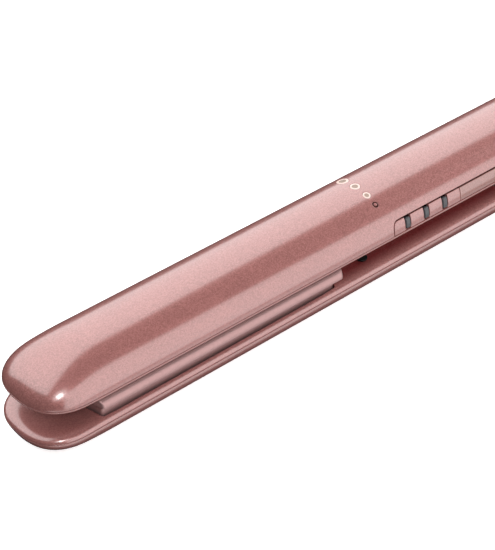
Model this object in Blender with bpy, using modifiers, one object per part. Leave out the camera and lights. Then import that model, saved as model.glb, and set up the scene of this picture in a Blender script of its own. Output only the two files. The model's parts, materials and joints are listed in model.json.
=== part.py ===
"""Flat iron with floating heating plates, side buttons and a swivel cord outlet.

Metres, +Z up. The iron lies on its lower arm with the tips towards -X and the hinge towards +X.
Stations along the arms are measured from the tips, and heights on an arm are measured
away from the plane where the two heating plates meet, for the upper and the lower arm alike.
"""
import math

import bmesh
import bpy
from mathutils import Matrix, Vector

MM = 0.001

# Overall
OVERALL_LENGTH = 290 * MM        # tips to the end of the swivel gland
ARM_LENGTH = 281 * MM
ARM_WIDTH = 33.4 * MM
CROWN = 18.4 * MM                # crown of an arm, above the meeting plane
REST_FLAT = 17.8 * MM            # flat strip that the lower arm lies on
GAP = 0.3 * MM                   # between pieces that touch

# Outline and section of an arm
BASE = 5.55 * MM                 # where a cover meets its inner shell
SECTION_POWER = 2.04
TIP_LENGTH, TIP_POWER = 18.1 * MM, 2.45
TIP_CROWN_LENGTH, TIP_CROWN_POWER = 27.8 * MM, 2.0
TIP_LIFT, TIP_LIFT_LENGTH = 0.9 * MM, 26 * MM
REAR_LENGTH, REAR_POWER = 12 * MM, 2.5
REAR_CROWN_LENGTH = 10 * MM
WALL = 1.6 * MM
SECTION_STEPS = 16
TIP_STEPS = 9
REAR_STEPS = 5

# Inner shells
EDGE_ROLL_WIDTH = 5.0 * MM
EDGE_ROLL_DEPTH = 2.3 * MM
EDGE_ROLL_STEPS = 5
SHELL_FLOOR_TOP = 4.9 * MM
SHELL_RIB = 0.8 * MM
SHELL_RIB_WIDTH = 1.2 * MM
SEAM = BASE - GAP / 2
INNER_FACE = SEAM - EDGE_ROLL_DEPTH

# Heating plates
PLATE_START = 22.4 * MM
PLATE_LENGTH = 105 * MM
PLATE_END_SAG = 3.0 * MM
PLATE_HALF_WIDTH = 17.3 * MM
PLATE_ROUND = 3.2 * MM
LOWER_PLATE_INSET = 1.7 * MM      # the lower plate hides under the upper one's rounded edges
PLATE_FACE = 0.1 * MM
PLATE_BACK = SHELL_FLOOR_TOP
PLATE_WALL_TOP = 7.5 * MM
PLATE_WALL = 1.5 * MM
PLATE_WALL_ENDS = 8 * MM
PLATE_TRAVEL = 0.5 * MM
WELL_HALF_WIDTH = 15.1 * MM
WELL_END_GAP = 0.5 * MM
PLATE_MIDDLE = PLATE_START + PLATE_LENGTH / 2
PLATE_BLANK_EXTRA = 1 * MM       # how far the plate's blank and cutters run past its plan

# On each plate's back
HEATER = (PLATE_START + 10 * MM, PLATE_START + PLATE_LENGTH - 10 * MM)
HEATER_HALF_WIDTH, HEATER_THICK = 9 * MM, 2.0 * MM
CLAMP_INSET, CLAMP_HALF_WIDTH = 5 * MM, 11.8 * MM
CLAMP_TOP, CLAMP_THICK = 7.9 * MM, 0.6 * MM
THERMISTOR_RADIUS, THERMISTOR_HALF = 0.9 * MM, 3 * MM
FUSE_RADIUS, FUSE_HALF = 1.3 * MM, 6 * MM
LEAD_RADIUS, LEAD_SIDE = 0.6 * MM, 4 * MM
# station, height and spread of a lead, from the heater back to the board
LEAD_ROUTE = ((PLATE_START + PLATE_LENGTH - 4 * MM, 10.2 * MM, 1.0), (132 * MM, 10.4 * MM, 1.3),
              (139 * MM, 10.0 * MM, 1.4), (145 * MM, 8.8 * MM, 1.2))

# Hinge
HINGE_STATION = 268 * MM
REST_OPENING = math.radians(0.43)
PIN_RADIUS = 1.75 * MM
PIN_HALF = 12.9 * MM
PIN_HEAD_RADIUS, PIN_HEAD = 2.8 * MM, 1.0 * MM
KNUCKLE_RADIUS = 5.0 * MM
UPPER_KNUCKLE = (4.0 * MM, 8.0 * MM)
LOWER_KNUCKLE = (8.6 * MM, 12.6 * MM)
SLOT_REACH = 6.2 * MM
SLOT_SIDE = 0.4 * MM
SPRING_COIL, SPRING_WIRE, SPRING_TURNS = 3.0 * MM, 0.4 * MM, 5
SPRING_HALF = 2.9 * MM
SPRING_LEG_HEIGHT, SPRING_LEG_REACH = 2.1 * MM, 16 * MM

# Cord swivel
GLAND_HEIGHT = 11.2 * MM
GLAND_RADIUS, GLAND_BORE = 4.3 * MM, 3.1 * MM
GLAND_FLANGE_RADIUS = 4.9 * MM
GLAND_TAIL_RADIUS = 5.2 * MM
COLLAR_RADIUS = 5.5 * MM
COLLAR_START, COLLAR_END = 274 * MM, 284 * MM

# Button panel and side trim, on the upper arm's near flank
PANEL = (152.3 * MM, 184.6 * MM)
PANEL_TOP = 10.8 * MM
PANEL_CORNER = 2.0 * MM
TRIM = (185.0 * MM, 262 * MM)
TRIM_TOP = 10.5 * MM
TRIM_CORNER = 0.8 * MM
SIDE_GAP = 0.2 * MM
PANEL_RECESS = 0.12 * MM
TRIM_WALL = 1.4 * MM
BUTTONS = ("down", "power", "up")
BUTTON_FIRST, BUTTON_PITCH = 158.9 * MM, 9.1 * MM
BUTTON_WIDTH, BUTTON_TALL, BUTTON_CENTRE = 2.4 * MM, 4.4 * MM, 8.2 * MM
BUTTON_CORNER = 0.5 * MM
BUTTON_PROUD = 0.15 * MM
BUTTON_CLEARANCE = 0.15 * MM
STEM_HALF_WIDTH, STEM_SIDES = 0.7 * MM, (-15.6 * MM, -13.2 * MM)
STEM_HALF_HEIGHT = 1.0 * MM
SWITCH_HALF, SWITCH_FRONT = 1.5 * MM, -12.6 * MM

# Ring lights across the upper crown: side position and outer radius
RING_STATION = 149.3 * MM
RINGS = ((-8.8 * MM, 1.0 * MM), (-4.3 * MM, 1.4 * MM), (1.7 * MM, 1.8 * MM), (8.0 * MM, 2.15 * MM))
RING_CLEARANCE = 0.1 * MM
RING_GUIDE_END = 11.6 * MM

# Stop pads, screws and float pads: stations and side positions
STOP_PAD_STATION, STOP_PAD_SIDE, STOP_PAD_RADIUS = 143.4 * MM, 9.6 * MM, 2.1 * MM
STOP_PAD_PROUD = 0.9 * MM
SCREWS = ((142.5 * MM, 0.0), (212 * MM, -8.5 * MM), (212 * MM, 8.5 * MM))
SCREW_HEAD_RADIUS, SCREW_HEAD = 2.2 * MM, 1.0 * MM
SCREW_RADIUS, SCREW_DEPTH = 1.1 * MM, 6.5 * MM
BOSS_RADIUS = 2.6 * MM
FLOAT_PADS = {"front": 19 * MM, "rear": 132 * MM}
FLOAT_PAD_RADIUS, FLOAT_PAD_TOP = 3.0 * MM, 12.0 * MM
TIP_PAD_DROP = 1.2 * MM          # the crown falls away above the front float pad
RETAINER_HALF, RETAINER_HALF_WIDTH = 4 * MM, 8 * MM
RETAINER = (SHELL_FLOOR_TOP + GAP, SHELL_FLOOR_TOP + GAP + 1.5 * MM)

# Boards
CONTROL_BOARD = (147 * MM, 204 * MM)
POWER_BOARD = (147 * MM, 204 * MM)
BOARD_HALF_WIDTH, BOARD_THICK, BOARD_HEIGHT = 9.6 * MM, 1.6 * MM, 8.0 * MM
TRIAC, TRIAC_HALF_WIDTH, TRIAC_TALL = (182 * MM, 192 * MM), 5 * MM, 4.5 * MM
TERMINAL_BLOCK, TERMINAL_HALF_WIDTH, TERMINAL_TOP = (226 * MM, 244 * MM), 7 * MM, 13 * MM

TIP_X = -OVERALL_LENGTH / 2
MEETING_Z = REST_FLAT
HINGE = Vector((TIP_X + HINGE_STATION, 0, MEETING_Z))

COLOURS = {
    "rose_gold_paint": ((0.56, 0.33, 0.31), 0.28, 0.55),
    "plate_coating": ((0.62, 0.38, 0.36), 0.35, 0.6),
    "side_trim": ((0.20, 0.09, 0.08), 0.3, 0.4),
    "button_grey": ((0.25, 0.24, 0.25), 0.4, 0.0),
    "light_lens": ((0.95, 0.85, 0.75), 0.3, 0.0),
    "black_rubber": ((0.015, 0.015, 0.015), 0.7, 0.0),
    "black_plastic": ((0.02, 0.02, 0.02), 0.4, 0.0),
    "screw_steel": ((0.55, 0.55, 0.56), 0.3, 1.0),
    "sensor_brass": ((0.7, 0.5, 0.2), 0.35, 1.0),
    "heater_ceramic": ((0.8, 0.78, 0.72), 0.6, 0.0),
    "silicone": ((0.45, 0.42, 0.4), 0.8, 0.0),
    "circuit_board": ((0.02, 0.2, 0.08), 0.5, 0.0),
    "lead_insulation": ((0.5, 0.03, 0.02), 0.5, 0.0),
    "led_body": ((0.9, 0.9, 0.85), 0.3, 0.0),
}


# Scene helpers

def clear_scene():
    for old in list(bpy.data.objects):
        bpy.data.objects.remove(old, do_unlink=True)


def new_collection(name):
    group = bpy.data.collections.new(name)
    bpy.context.scene.collection.children.link(group)
    return group


def make_material(name):
    colour, roughness, metallic = COLOURS[name]
    material = bpy.data.materials.new(name)
    material.use_nodes = True
    shader = material.node_tree.nodes["Principled BSDF"]
    shader.inputs["Base Color"].default_value = (*colour, 1)
    shader.inputs["Roughness"].default_value = roughness
    shader.inputs["Metallic"].default_value = metallic
    material.diffuse_color = (*colour, 1)
    return material


def pivot(name, place, angle=0.0, parent=None):
    """An empty on a joint's axis; place is in the frame of the closed iron."""
    empty = bpy.data.objects.new(name, None)
    empty.location = place
    empty.rotation_euler = (0, angle, 0)
    PARTS.objects.link(empty)
    if parent:
        empty.parent = parent
        empty.location = Vector(place) - ORIGINS[parent.name]
    ORIGINS[name] = Vector(place)
    return empty


def add_object(name, bm, material, parent=None, smooth=True):
    """Turn a bmesh in the closed iron's frame into a part under its body's pivot."""
    bmesh.ops.recalc_face_normals(bm, faces=bm.faces)
    mesh = bpy.data.meshes.new(name)
    if parent:
        bmesh.ops.translate(bm, verts=bm.verts, vec=-ORIGINS[parent.name])
    bm.to_mesh(mesh)
    bm.free()
    if smooth:
        mesh.shade_smooth()
        mesh.set_sharp_from_angle(angle=math.radians(35))
    part = bpy.data.objects.new(name, mesh)
    mesh.materials.append(MATERIALS[material])
    PARTS.objects.link(part)
    part.parent = parent
    return part


def add_cutter(name, shapes, parent=None):
    """Join closed shapes that don't touch into one hidden Boolean operand."""
    bm = bmesh.new()
    for shape in shapes:
        bmesh.ops.recalc_face_normals(shape, faces=shape.faces)
        scratch = bpy.data.meshes.new("scratch")
        shape.to_mesh(scratch)
        shape.free()
        bm.from_mesh(scratch)
        bpy.data.meshes.remove(scratch)
    if parent:
        bmesh.ops.translate(bm, verts=bm.verts, vec=-ORIGINS[parent.name])
    mesh = bpy.data.meshes.new(name)
    bm.to_mesh(mesh)
    bm.free()
    cutter = bpy.data.objects.new(name, mesh)
    cutter.hide_render = True
    cutter.display_type = 'WIRE'
    CUTTERS.objects.link(cutter)
    cutter.parent = parent
    return cutter


def boolean(part, cutter, operation):
    modifier = part.modifiers.new(f"{operation.lower()}_{cutter.name}", 'BOOLEAN')
    modifier.operation = operation
    modifier.solver = 'EXACT'
    modifier.object = cutter


# Shapes in the closed iron's frame: station from the tips, side, height from the meeting plane

def place(sign, station, side, height):
    """A point on the upper arm where sign is 1, or on the lower arm where it is -1."""
    return Vector((TIP_X + station, side, MEETING_Z + sign * height))


def box(sign, stations, sides, heights):
    low = place(sign, stations[0], sides[0], heights[0])
    high = place(sign, stations[1], sides[1], heights[1])
    size = high - low
    bm = bmesh.new()
    scale = Matrix.Diagonal((abs(size.x), abs(size.y), abs(size.z), 1))
    bmesh.ops.create_cube(bm, size=1, matrix=Matrix.Translation((low + high) / 2) @ scale)
    return bm


def rod(start, end, radius, segments=20):
    """A closed cylinder between two points."""
    axis = Vector(end) - Vector(start)
    turn = axis.to_track_quat('Z', 'Y').to_matrix().to_4x4()
    bm = bmesh.new()
    bmesh.ops.create_cone(
        bm, cap_ends=True, segments=segments, depth=axis.length, radius1=radius, radius2=radius,
        matrix=Matrix.Translation((Vector(start) + Vector(end)) / 2) @ turn)
    return bm


def upright(sign, station, side, heights, radius, segments=20):
    return rod(place(sign, station, side, heights[0]), place(sign, station, side, heights[1]),
               radius, segments)


def prism(outline, direction):
    """Extrude a closed planar outline."""
    bm = bmesh.new()
    face = bm.faces.new([bm.verts.new(point) for point in outline])
    grown = bmesh.ops.extrude_face_region(bm, geom=[face])
    moved = [item for item in grown["geom"] if isinstance(item, bmesh.types.BMVert)]
    bmesh.ops.translate(bm, verts=moved, vec=direction)
    return bm


def rounded_outline(low, high, radii, steps=5):
    """Corners of a rectangle rounded by their own radii, counted from the low corner."""
    corners = ((low[0], low[1]), (high[0], low[1]), (high[0], high[1]), (low[0], high[1]))
    points = []
    for index, ((u, v), radius) in enumerate(zip(corners, radii)):
        if radius == 0:
            points.append((u, v))
            continue
        centre_u = u + radius if index in (0, 3) else u - radius
        centre_v = v + radius if index in (0, 1) else v - radius
        first = math.pi + index * math.pi / 2
        for step in range(steps + 1):
            angle = first + step / steps * math.pi / 2
            points.append((centre_u + radius * math.cos(angle), centre_v + radius * math.sin(angle)))
    return points


def flank_prism(stations, heights, radii, sides):
    """A rounded rectangle on the upper arm's flank, extruded across the arm."""
    low = (stations[0], heights[0])
    high = (stations[1], heights[1])
    outline = [place(1, u, sides[0], v) for u, v in rounded_outline(low, high, radii)]
    return prism(outline, (0, sides[1] - sides[0], 0))


# The arm's form

def swell(part, power):
    """Grows from 0 to 1 as a superellipse quarter does."""
    return (1 - max(0.0, 1 - max(0.0, part)) ** power) ** (1 / power)


def half_width(station, inset):
    tip = swell((station - inset) / (TIP_LENGTH - inset), TIP_POWER)
    rear = swell((ARM_LENGTH - inset - station) / (REAR_LENGTH - inset), REAR_POWER)
    return (ARM_WIDTH / 2 - inset) * tip * rear


def dome(station, inset):
    tip = swell((station - inset) / (TIP_CROWN_LENGTH - inset), TIP_CROWN_POWER)
    rear = swell((ARM_LENGTH - inset - station) / (REAR_CROWN_LENGTH - inset), REAR_POWER)
    return (CROWN - inset - BASE) * tip * rear


def tip_lift(station):
    return TIP_LIFT * max(0.0, 1 - station / TIP_LIFT_LENGTH) ** 2


def stations_between(inset):
    """Stations that crowd towards both rounded ends."""
    tip = [inset + (TIP_CROWN_LENGTH - inset) * (1 - math.cos(math.pi / 2 * k / TIP_STEPS))
           for k in range(1, TIP_STEPS + 1)]
    rear = [ARM_LENGTH - inset - (REAR_LENGTH - inset) * (1 - math.cos(math.pi / 2 * k / REAR_STEPS))
            for k in range(REAR_STEPS, 0, -1)]
    return tip + rear


def section_point(station, angle, inset):
    power = 2 / SECTION_POWER
    across, up = math.cos(angle), math.sin(angle)
    side = half_width(station, inset) * math.copysign(abs(across) ** power, across)
    lift = tip_lift(station)
    height = BASE + GAP / 2 + lift + (dome(station, inset) - lift - GAP / 2) * abs(up) ** power
    return side, height


def section_height(side, inset):
    """Height of the arm's section above a side position, on its straight run."""
    across = min(1.0, abs(side) / (ARM_WIDTH / 2 - inset))
    up = (1 - across ** SECTION_POWER) ** (1 / SECTION_POWER)
    return BASE + GAP / 2 + (CROWN - inset - BASE - GAP / 2) * up


def dome_skin(bm, sign, inset):
    """One domed skin, closed to a point at each end; returns its rim as a loop of vertices."""
    stations = stations_between(inset)
    rows = []
    for station in stations:
        row = []
        for step in range(SECTION_STEPS + 1):
            side, height = section_point(station, math.pi * step / SECTION_STEPS, inset)
            row.append(bm.verts.new(place(sign, station, side, height)))
        rows.append(row)
    ends = []
    for station in (inset, ARM_LENGTH - inset):
        height = BASE + GAP / 2 + tip_lift(station)
        ends.append(bm.verts.new(place(sign, station, 0, height)))
    for step in range(SECTION_STEPS):
        bm.faces.new((ends[0], rows[0][step], rows[0][step + 1]))
        bm.faces.new((ends[1], rows[-1][step + 1], rows[-1][step]))
        for near, far in zip(rows, rows[1:]):
            bm.faces.new((near[step], far[step], far[step + 1], near[step + 1]))
    return [ends[0]] + [row[0] for row in rows] + [ends[1]] + [row[-1] for row in reversed(rows)]


def bridge(bm, first, second):
    for k in range(len(first)):
        after = (k + 1) % len(first)
        bm.faces.new((first[k], first[after], second[after], second[k]))


def cover_shape(sign):
    bm = bmesh.new()
    bridge(bm, dome_skin(bm, sign, 0.0), dome_skin(bm, sign, WALL))
    return bm


def outline_ring(bm, sign, inset, height):
    stations = stations_between(inset)
    plan = [(inset, 0.0)] + [(s, half_width(s, inset)) for s in stations]
    plan += [(ARM_LENGTH - inset, 0.0)] + [(s, -half_width(s, inset)) for s in reversed(stations)]
    return [bm.verts.new(place(sign, s, side, height + tip_lift(s))) for s, side in plan]


def inner_shell_shape(sign):
    """A tray with its edge rolled over, and a low rib that stands inside the cover."""
    rib_outside = WALL + GAP
    rib_inside = rib_outside + SHELL_RIB_WIDTH
    profile = []
    for k in range(EDGE_ROLL_STEPS, -1, -1):
        angle = math.pi / 2 * k / EDGE_ROLL_STEPS
        profile.append((EDGE_ROLL_WIDTH * (1 - math.cos(angle)), SEAM - EDGE_ROLL_DEPTH * math.sin(angle)))
    profile += [(rib_outside, SEAM), (rib_outside, SEAM + SHELL_RIB)]
    profile += [(rib_inside, SEAM + SHELL_RIB), (rib_inside, SHELL_FLOOR_TOP)]
    bm = bmesh.new()
    rings = [outline_ring(bm, sign, inset, height) for inset, height in profile]
    for first, second in zip(rings, rings[1:]):
        bridge(bm, first, second)
    bm.faces.new(rings[0])
    bm.faces.new(list(reversed(rings[-1])))
    return bm


def flank_band(stations, proud, depth, angles=(math.pi, math.pi / 2), steps=12):
    """A curved slab of the upper arm's flank between two stations of its straight run."""
    rows = []
    bm = bmesh.new()
    for station in stations:
        outer, inner = [], []
        for step in range(steps + 1):
            angle = angles[0] + (angles[1] - angles[0]) * step / steps
            for ring, inset in ((outer, -proud), (inner, depth)):
                side, height = section_point(station, angle, inset)
                ring.append(bm.verts.new(place(1, station, side, height)))
        rows.append(outer + inner[::-1])
    bridge(bm, rows[0], rows[1])
    bm.faces.new(rows[0])
    bm.faces.new(list(reversed(rows[1])))
    return bm


def plate_outline(reach, grow):
    """Plan of a heating plate out to a side reach: straight sides and bowed ends."""
    points = []
    steps = 8
    front, rear = PLATE_START - grow, PLATE_START + PLATE_LENGTH + grow
    for end, direction in ((front, -1), (rear, 1)):
        for step in range(steps + 1):
            side = direction * reach * (2 * step / steps - 1)
            bow = PLATE_END_SAG * (1 - (side / PLATE_HALF_WIDTH) ** 2)
            points.append((end + direction * bow, side))
    return points


# Arms

def shell_screws(sign):
    """Bosses on the cover, and the clearance holes in the inner shell."""
    bosses, pilots, holes = [], [], []
    for station, side in SCREWS:
        top = section_height(abs(side) + (BOSS_RADIUS if side else 0), WALL / 2)
        bosses.append(upright(sign, station, side, (SHELL_FLOOR_TOP + GAP, top), BOSS_RADIUS, 16))
        pilots.append(upright(sign, station, side, (4 * MM, 12.5 * MM), SCREW_RADIUS + GAP, 12))
        holes.append(upright(sign, station, side, (2 * MM, 6 * MM), SCREW_RADIUS + GAP, 12))
    return bosses, pilots, holes


def add_cover(name, sign, parent):
    cover = add_object(name, cover_shape(sign), "rose_gold_paint", parent)
    bosses, pilots, _ = shell_screws(sign)
    for station in FLOAT_PADS.values():
        top = CROWN - WALL / 2 - (TIP_PAD_DROP if station < TIP_CROWN_LENGTH else 0)
        bosses.append(upright(sign, station, 0, (FLOAT_PAD_TOP + GAP, top), FLOAT_PAD_RADIUS, 16))
    boolean(cover, add_cutter(f"{name}_bosses", bosses, parent), 'UNION')
    boolean(cover, add_cutter(f"{name}_pilots", pilots, parent), 'DIFFERENCE')
    return cover


def knuckle(sign, sides, bore_only=False):
    """The barrels of one arm's hinge, with the webs that carry them."""
    shapes = []
    for way in (-1, 1):
        low, high = sorted((way * sides[0], way * sides[1]))
        if bore_only:
            shapes.append(rod(HINGE + Vector((0, low - GAP, 0)), HINGE + Vector((0, high + GAP, 0)),
                              PIN_RADIUS + GAP, 16))
            continue
        side = place(sign, HINGE_STATION, low, 0)
        outline = [side + Vector((KNUCKLE_RADIUS, 0, sign * (SHELL_FLOOR_TOP - GAP)))]
        for step in range(13):
            angle = -math.pi * step / 12
            outline.append(side + Vector((KNUCKLE_RADIUS * math.cos(angle), 0,
                                          sign * KNUCKLE_RADIUS * math.sin(angle))))
        outline.append(side + Vector((-KNUCKLE_RADIUS, 0, sign * (SHELL_FLOOR_TOP - GAP))))
        shapes.append(prism(outline, (0, high - low, 0)))
    return shapes


def knuckle_slots(sign, side_ranges):
    stations = (HINGE_STATION - SLOT_REACH, HINGE_STATION + SLOT_REACH)
    heights = (0.5 * MM, 8 * MM)
    return [box(sign, stations, (low, high), heights) for low, high in side_ranges]


def add_inner_shell(name, sign, parent, slots, knuckles):
    shell = add_object(name, inner_shell_shape(sign), "rose_gold_paint", parent)
    well = [place(sign, s, side, 0) for s, side in plate_outline(WELL_HALF_WIDTH, WELL_END_GAP)]
    cuts = [prism(well, (0, 0, sign * 9 * MM))] + knuckle_slots(sign, slots)
    cuts += shell_screws(sign)[2]
    boolean(shell, add_cutter(f"{name}_openings", cuts, parent), 'DIFFERENCE')
    heads = [upright(sign, station, side, (2 * MM, INNER_FACE + SCREW_HEAD + GAP / 2),
                     SCREW_HEAD_RADIUS + GAP, 20) for station, side in SCREWS]
    boolean(shell, add_cutter(f"{name}_head_recesses", heads, parent), 'DIFFERENCE')
    boolean(shell, add_cutter(f"{name}_knuckles", knuckle(sign, knuckles), parent), 'UNION')
    boolean(shell, add_cutter(f"{name}_pin_bores", knuckle(sign, knuckles, True), parent), 'DIFFERENCE')
    return shell


def add_screws(prefix, sign, parent):
    for index, (station, side) in enumerate(SCREWS, 1):
        top = INNER_FACE + SCREW_HEAD - GAP / 2
        screw = add_object(f"{prefix}_screw_{index}",
                           upright(sign, station, side, (INNER_FACE + GAP / 2, top), SCREW_HEAD_RADIUS),
                           "screw_steel", parent)
        shank = upright(sign, station, side, (top - 0.2 * MM, top + SCREW_DEPTH), SCREW_RADIUS, 12)
        boolean(screw, add_cutter(f"{prefix}_shank_{index}", [shank], parent), 'UNION')


def add_float_pads(prefix, sign, parent):
    for end, station in FLOAT_PADS.items():
        low = RETAINER[1] + PLATE_TRAVEL + 0.1 * MM
        pad = upright(sign, station, 0, (low, FLOAT_PAD_TOP), FLOAT_PAD_RADIUS, 16)
        add_object(f"{prefix}_float_pad_{end}", pad, "silicone", parent)


def tube(name, points, radius, material, parent, resolution=2):
    curve = bpy.data.curves.new(name, 'CURVE')
    curve.dimensions = '3D'
    curve.bevel_depth = radius
    curve.bevel_resolution = resolution
    curve.use_fill_caps = True
    spline = curve.splines.new('POLY')
    spline.points.add(len(points) - 1)
    origin = ORIGINS[parent.name] if parent else Vector()
    for point, target in zip(spline.points, points):
        point.co = (*(Vector(target) - origin), 1)
    curve.materials.append(MATERIALS[material])
    wire = bpy.data.objects.new(name, curve)
    PARTS.objects.link(wire)
    wire.parent = parent
    return wire


def smooth_path(corners, steps=4):
    """Points on a smooth curve through hand-chosen corners."""
    padded = [corners[0]] + list(corners) + [corners[-1]]
    points = []
    for a, b, c, d in zip(padded, padded[1:], padded[2:], padded[3:]):
        for step in range(steps):
            t = step / steps
            points.append(0.5 * ((2 * b) + (c - a) * t + (2 * a - 5 * b + 4 * c - d) * t * t
                                 + (3 * b - a - 3 * c + d) * t ** 3))
    return points + [corners[-1]]


def add_heater_leads(prefix, sign, parent):
    for label, side in (("a", -LEAD_SIDE), ("b", LEAD_SIDE)):
        corners = [place(sign, station, side * spread, height) for station, height, spread in LEAD_ROUTE]
        tube(f"{prefix}_heater_lead_{label}", smooth_path(corners), LEAD_RADIUS, "lead_insulation", parent)


# Heating plates

def plate_inset(sign):
    return LOWER_PLATE_INSET if sign < 0 else 0


def plate_section(sign):
    """Half a plate's section turned into a full closed outline at the front station."""
    round_centre = PLATE_HALF_WIDTH - PLATE_ROUND
    radius = PLATE_ROUND - plate_inset(sign)
    half = [(round_centre + radius, PLATE_FACE)]
    for step in range(1, 9):
        angle = math.pi / 2 * step / 8
        half.append((round_centre + radius * math.cos(angle), PLATE_FACE + radius * math.sin(angle)))
    half += [(round_centre, PLATE_WALL_TOP), (round_centre - PLATE_WALL, PLATE_WALL_TOP)]
    half += [(round_centre - PLATE_WALL, PLATE_BACK)]
    full = half + [(-side, height) for side, height in reversed(half)]
    start = PLATE_START - PLATE_END_SAG - PLATE_BLANK_EXTRA
    return [place(sign, start, side, height) for side, height in full]


def add_plate(prefix, sign, parent):
    run = PLATE_LENGTH + 2 * (PLATE_END_SAG + PLATE_BLANK_EXTRA)
    plate = add_object(f"{prefix}_plate", prism(plate_section(sign), (run, 0, 0)),
                       "plate_coating", parent)
    reach = PLATE_HALF_WIDTH + PLATE_BLANK_EXTRA
    ends = [place(sign, s, side, -PLATE_BLANK_EXTRA) for s, side in plate_outline(reach, -plate_inset(sign))]
    boolean(plate, add_cutter(f"{prefix}_plate_plan", [prism(ends, (0, 0, sign * 12 * MM))], parent),
            'INTERSECT')
    bow = PLATE_END_SAG + PLATE_BLANK_EXTRA
    near = (PLATE_START - bow, PLATE_START + PLATE_WALL_ENDS)
    far = (PLATE_START + PLATE_LENGTH - PLATE_WALL_ENDS, PLATE_START + PLATE_LENGTH + bow)
    trims = [box(sign, span, (-reach, reach), (PLATE_BACK, PLATE_WALL_TOP + 1 * MM)) for span in (near, far)]
    boolean(plate, add_cutter(f"{prefix}_plate_ends", trims, parent), 'DIFFERENCE')


def add_heater(prefix, sign, parent):
    low = PLATE_BACK + GAP
    slab = box(sign, HEATER, (-HEATER_HALF_WIDTH, HEATER_HALF_WIDTH), (low, low + HEATER_THICK))
    add_object(f"{prefix}_heater", slab, "heater_ceramic", parent)
    side, inside = CLAMP_HALF_WIDTH, CLAMP_HALF_WIDTH - CLAMP_THICK
    under = CLAMP_TOP - CLAMP_THICK
    outline = ((-side, low), (-side, CLAMP_TOP), (side, CLAMP_TOP), (side, low),
               (inside, low), (inside, under), (-inside, under), (-inside, low))
    points = [place(sign, HEATER[0] + CLAMP_INSET, y, height) for y, height in outline]
    clamp = prism(points, (HEATER[1] - HEATER[0] - 2 * CLAMP_INSET, 0, 0))
    add_object(f"{prefix}_heater_clamp", clamp, "screw_steel", parent)
    for end, station in FLOAT_PADS.items():
        bar = box(sign, (station - RETAINER_HALF, station + RETAINER_HALF),
                  (-RETAINER_HALF_WIDTH, RETAINER_HALF_WIDTH), RETAINER)
        add_object(f"{prefix}_plate_retainer_{end}", bar, "black_plastic", parent)


def add_sensor(name, sign, radius, half, material, parent):
    """A round sensor that lies along the middle of a heater's clamp."""
    height = CLAMP_TOP + GAP + radius
    sensor = rod(place(sign, PLATE_MIDDLE - half, 0, height), place(sign, PLATE_MIDDLE + half, 0, height),
                 radius, 16)
    add_object(name, sensor, material, parent)


# Upper arm's controls

def side_region(stations, top, corner, grow, rear_corner=0.0):
    """The side band's outline on the flank, from below the cover's edge to its top line."""
    span = (stations[0] - grow, stations[1] + grow)
    radii = (0, 0, rear_corner + grow if rear_corner else 0, corner + grow)
    return flank_prism(span, (BASE - 3 * MM, top + grow), radii, (-19 * MM, -12 * MM))


def button_station(index):
    return BUTTON_FIRST + index * BUTTON_PITCH


def button_prism(index, grow, sides=(-19 * MM, -12 * MM)):
    middle = button_station(index)
    span = (middle - BUTTON_WIDTH / 2 - grow, middle + BUTTON_WIDTH / 2 + grow)
    tall = (BUTTON_CENTRE - BUTTON_TALL / 2 - grow, BUTTON_CENTRE + BUTTON_TALL / 2 + grow)
    return flank_prism(span, tall, (BUTTON_CORNER + grow,) * 4, sides)


def add_side_band(parent):
    span = (PANEL[0] - 1 * MM, PANEL[1] + 1 * MM)
    panel = add_object("button_panel", flank_band(span, -PANEL_RECESS, TRIM_WALL), "rose_gold_paint", parent)
    boolean(panel, add_cutter("panel_plan", [side_region(PANEL, PANEL_TOP, PANEL_CORNER, 0)], parent),
            'INTERSECT')
    slots = [button_prism(index, BUTTON_CLEARANCE) for index in range(len(BUTTONS))]
    boolean(panel, add_cutter("panel_slots", slots, parent), 'DIFFERENCE')
    span = (TRIM[0] - 1 * MM, TRIM[1] + 1 * MM)
    trim = add_object("side_trim_rear", flank_band(span, -PANEL_RECESS, TRIM_WALL), "side_trim", parent)
    plan = [side_region(TRIM, TRIM_TOP, 0, 0, TRIM_CORNER)]
    boolean(trim, add_cutter("trim_plan", plan, parent), 'INTERSECT')


def add_buttons(arm):
    for index, label in enumerate(BUTTONS):
        station = button_station(index)
        body = pivot(f"button_{label}_slide", place(1, station, -ARM_WIDTH / 2, BUTTON_CENTRE), parent=arm)
        span = (station - 2 * MM, station + 2 * MM)
        button = add_object(f"button_{label}", flank_band(span, BUTTON_PROUD, TRIM_WALL), "button_grey", body)
        boolean(button, add_cutter(f"button_{label}_plan", [button_prism(index, 0)], body), 'INTERSECT')
        stem = box(1, (station - STEM_HALF_WIDTH, station + STEM_HALF_WIDTH), STEM_SIDES,
                   (BUTTON_CENTRE - STEM_HALF_HEIGHT, BUTTON_CENTRE + STEM_HALF_HEIGHT))
        boolean(button, add_cutter(f"button_{label}_stem", [stem], body), 'UNION')


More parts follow.
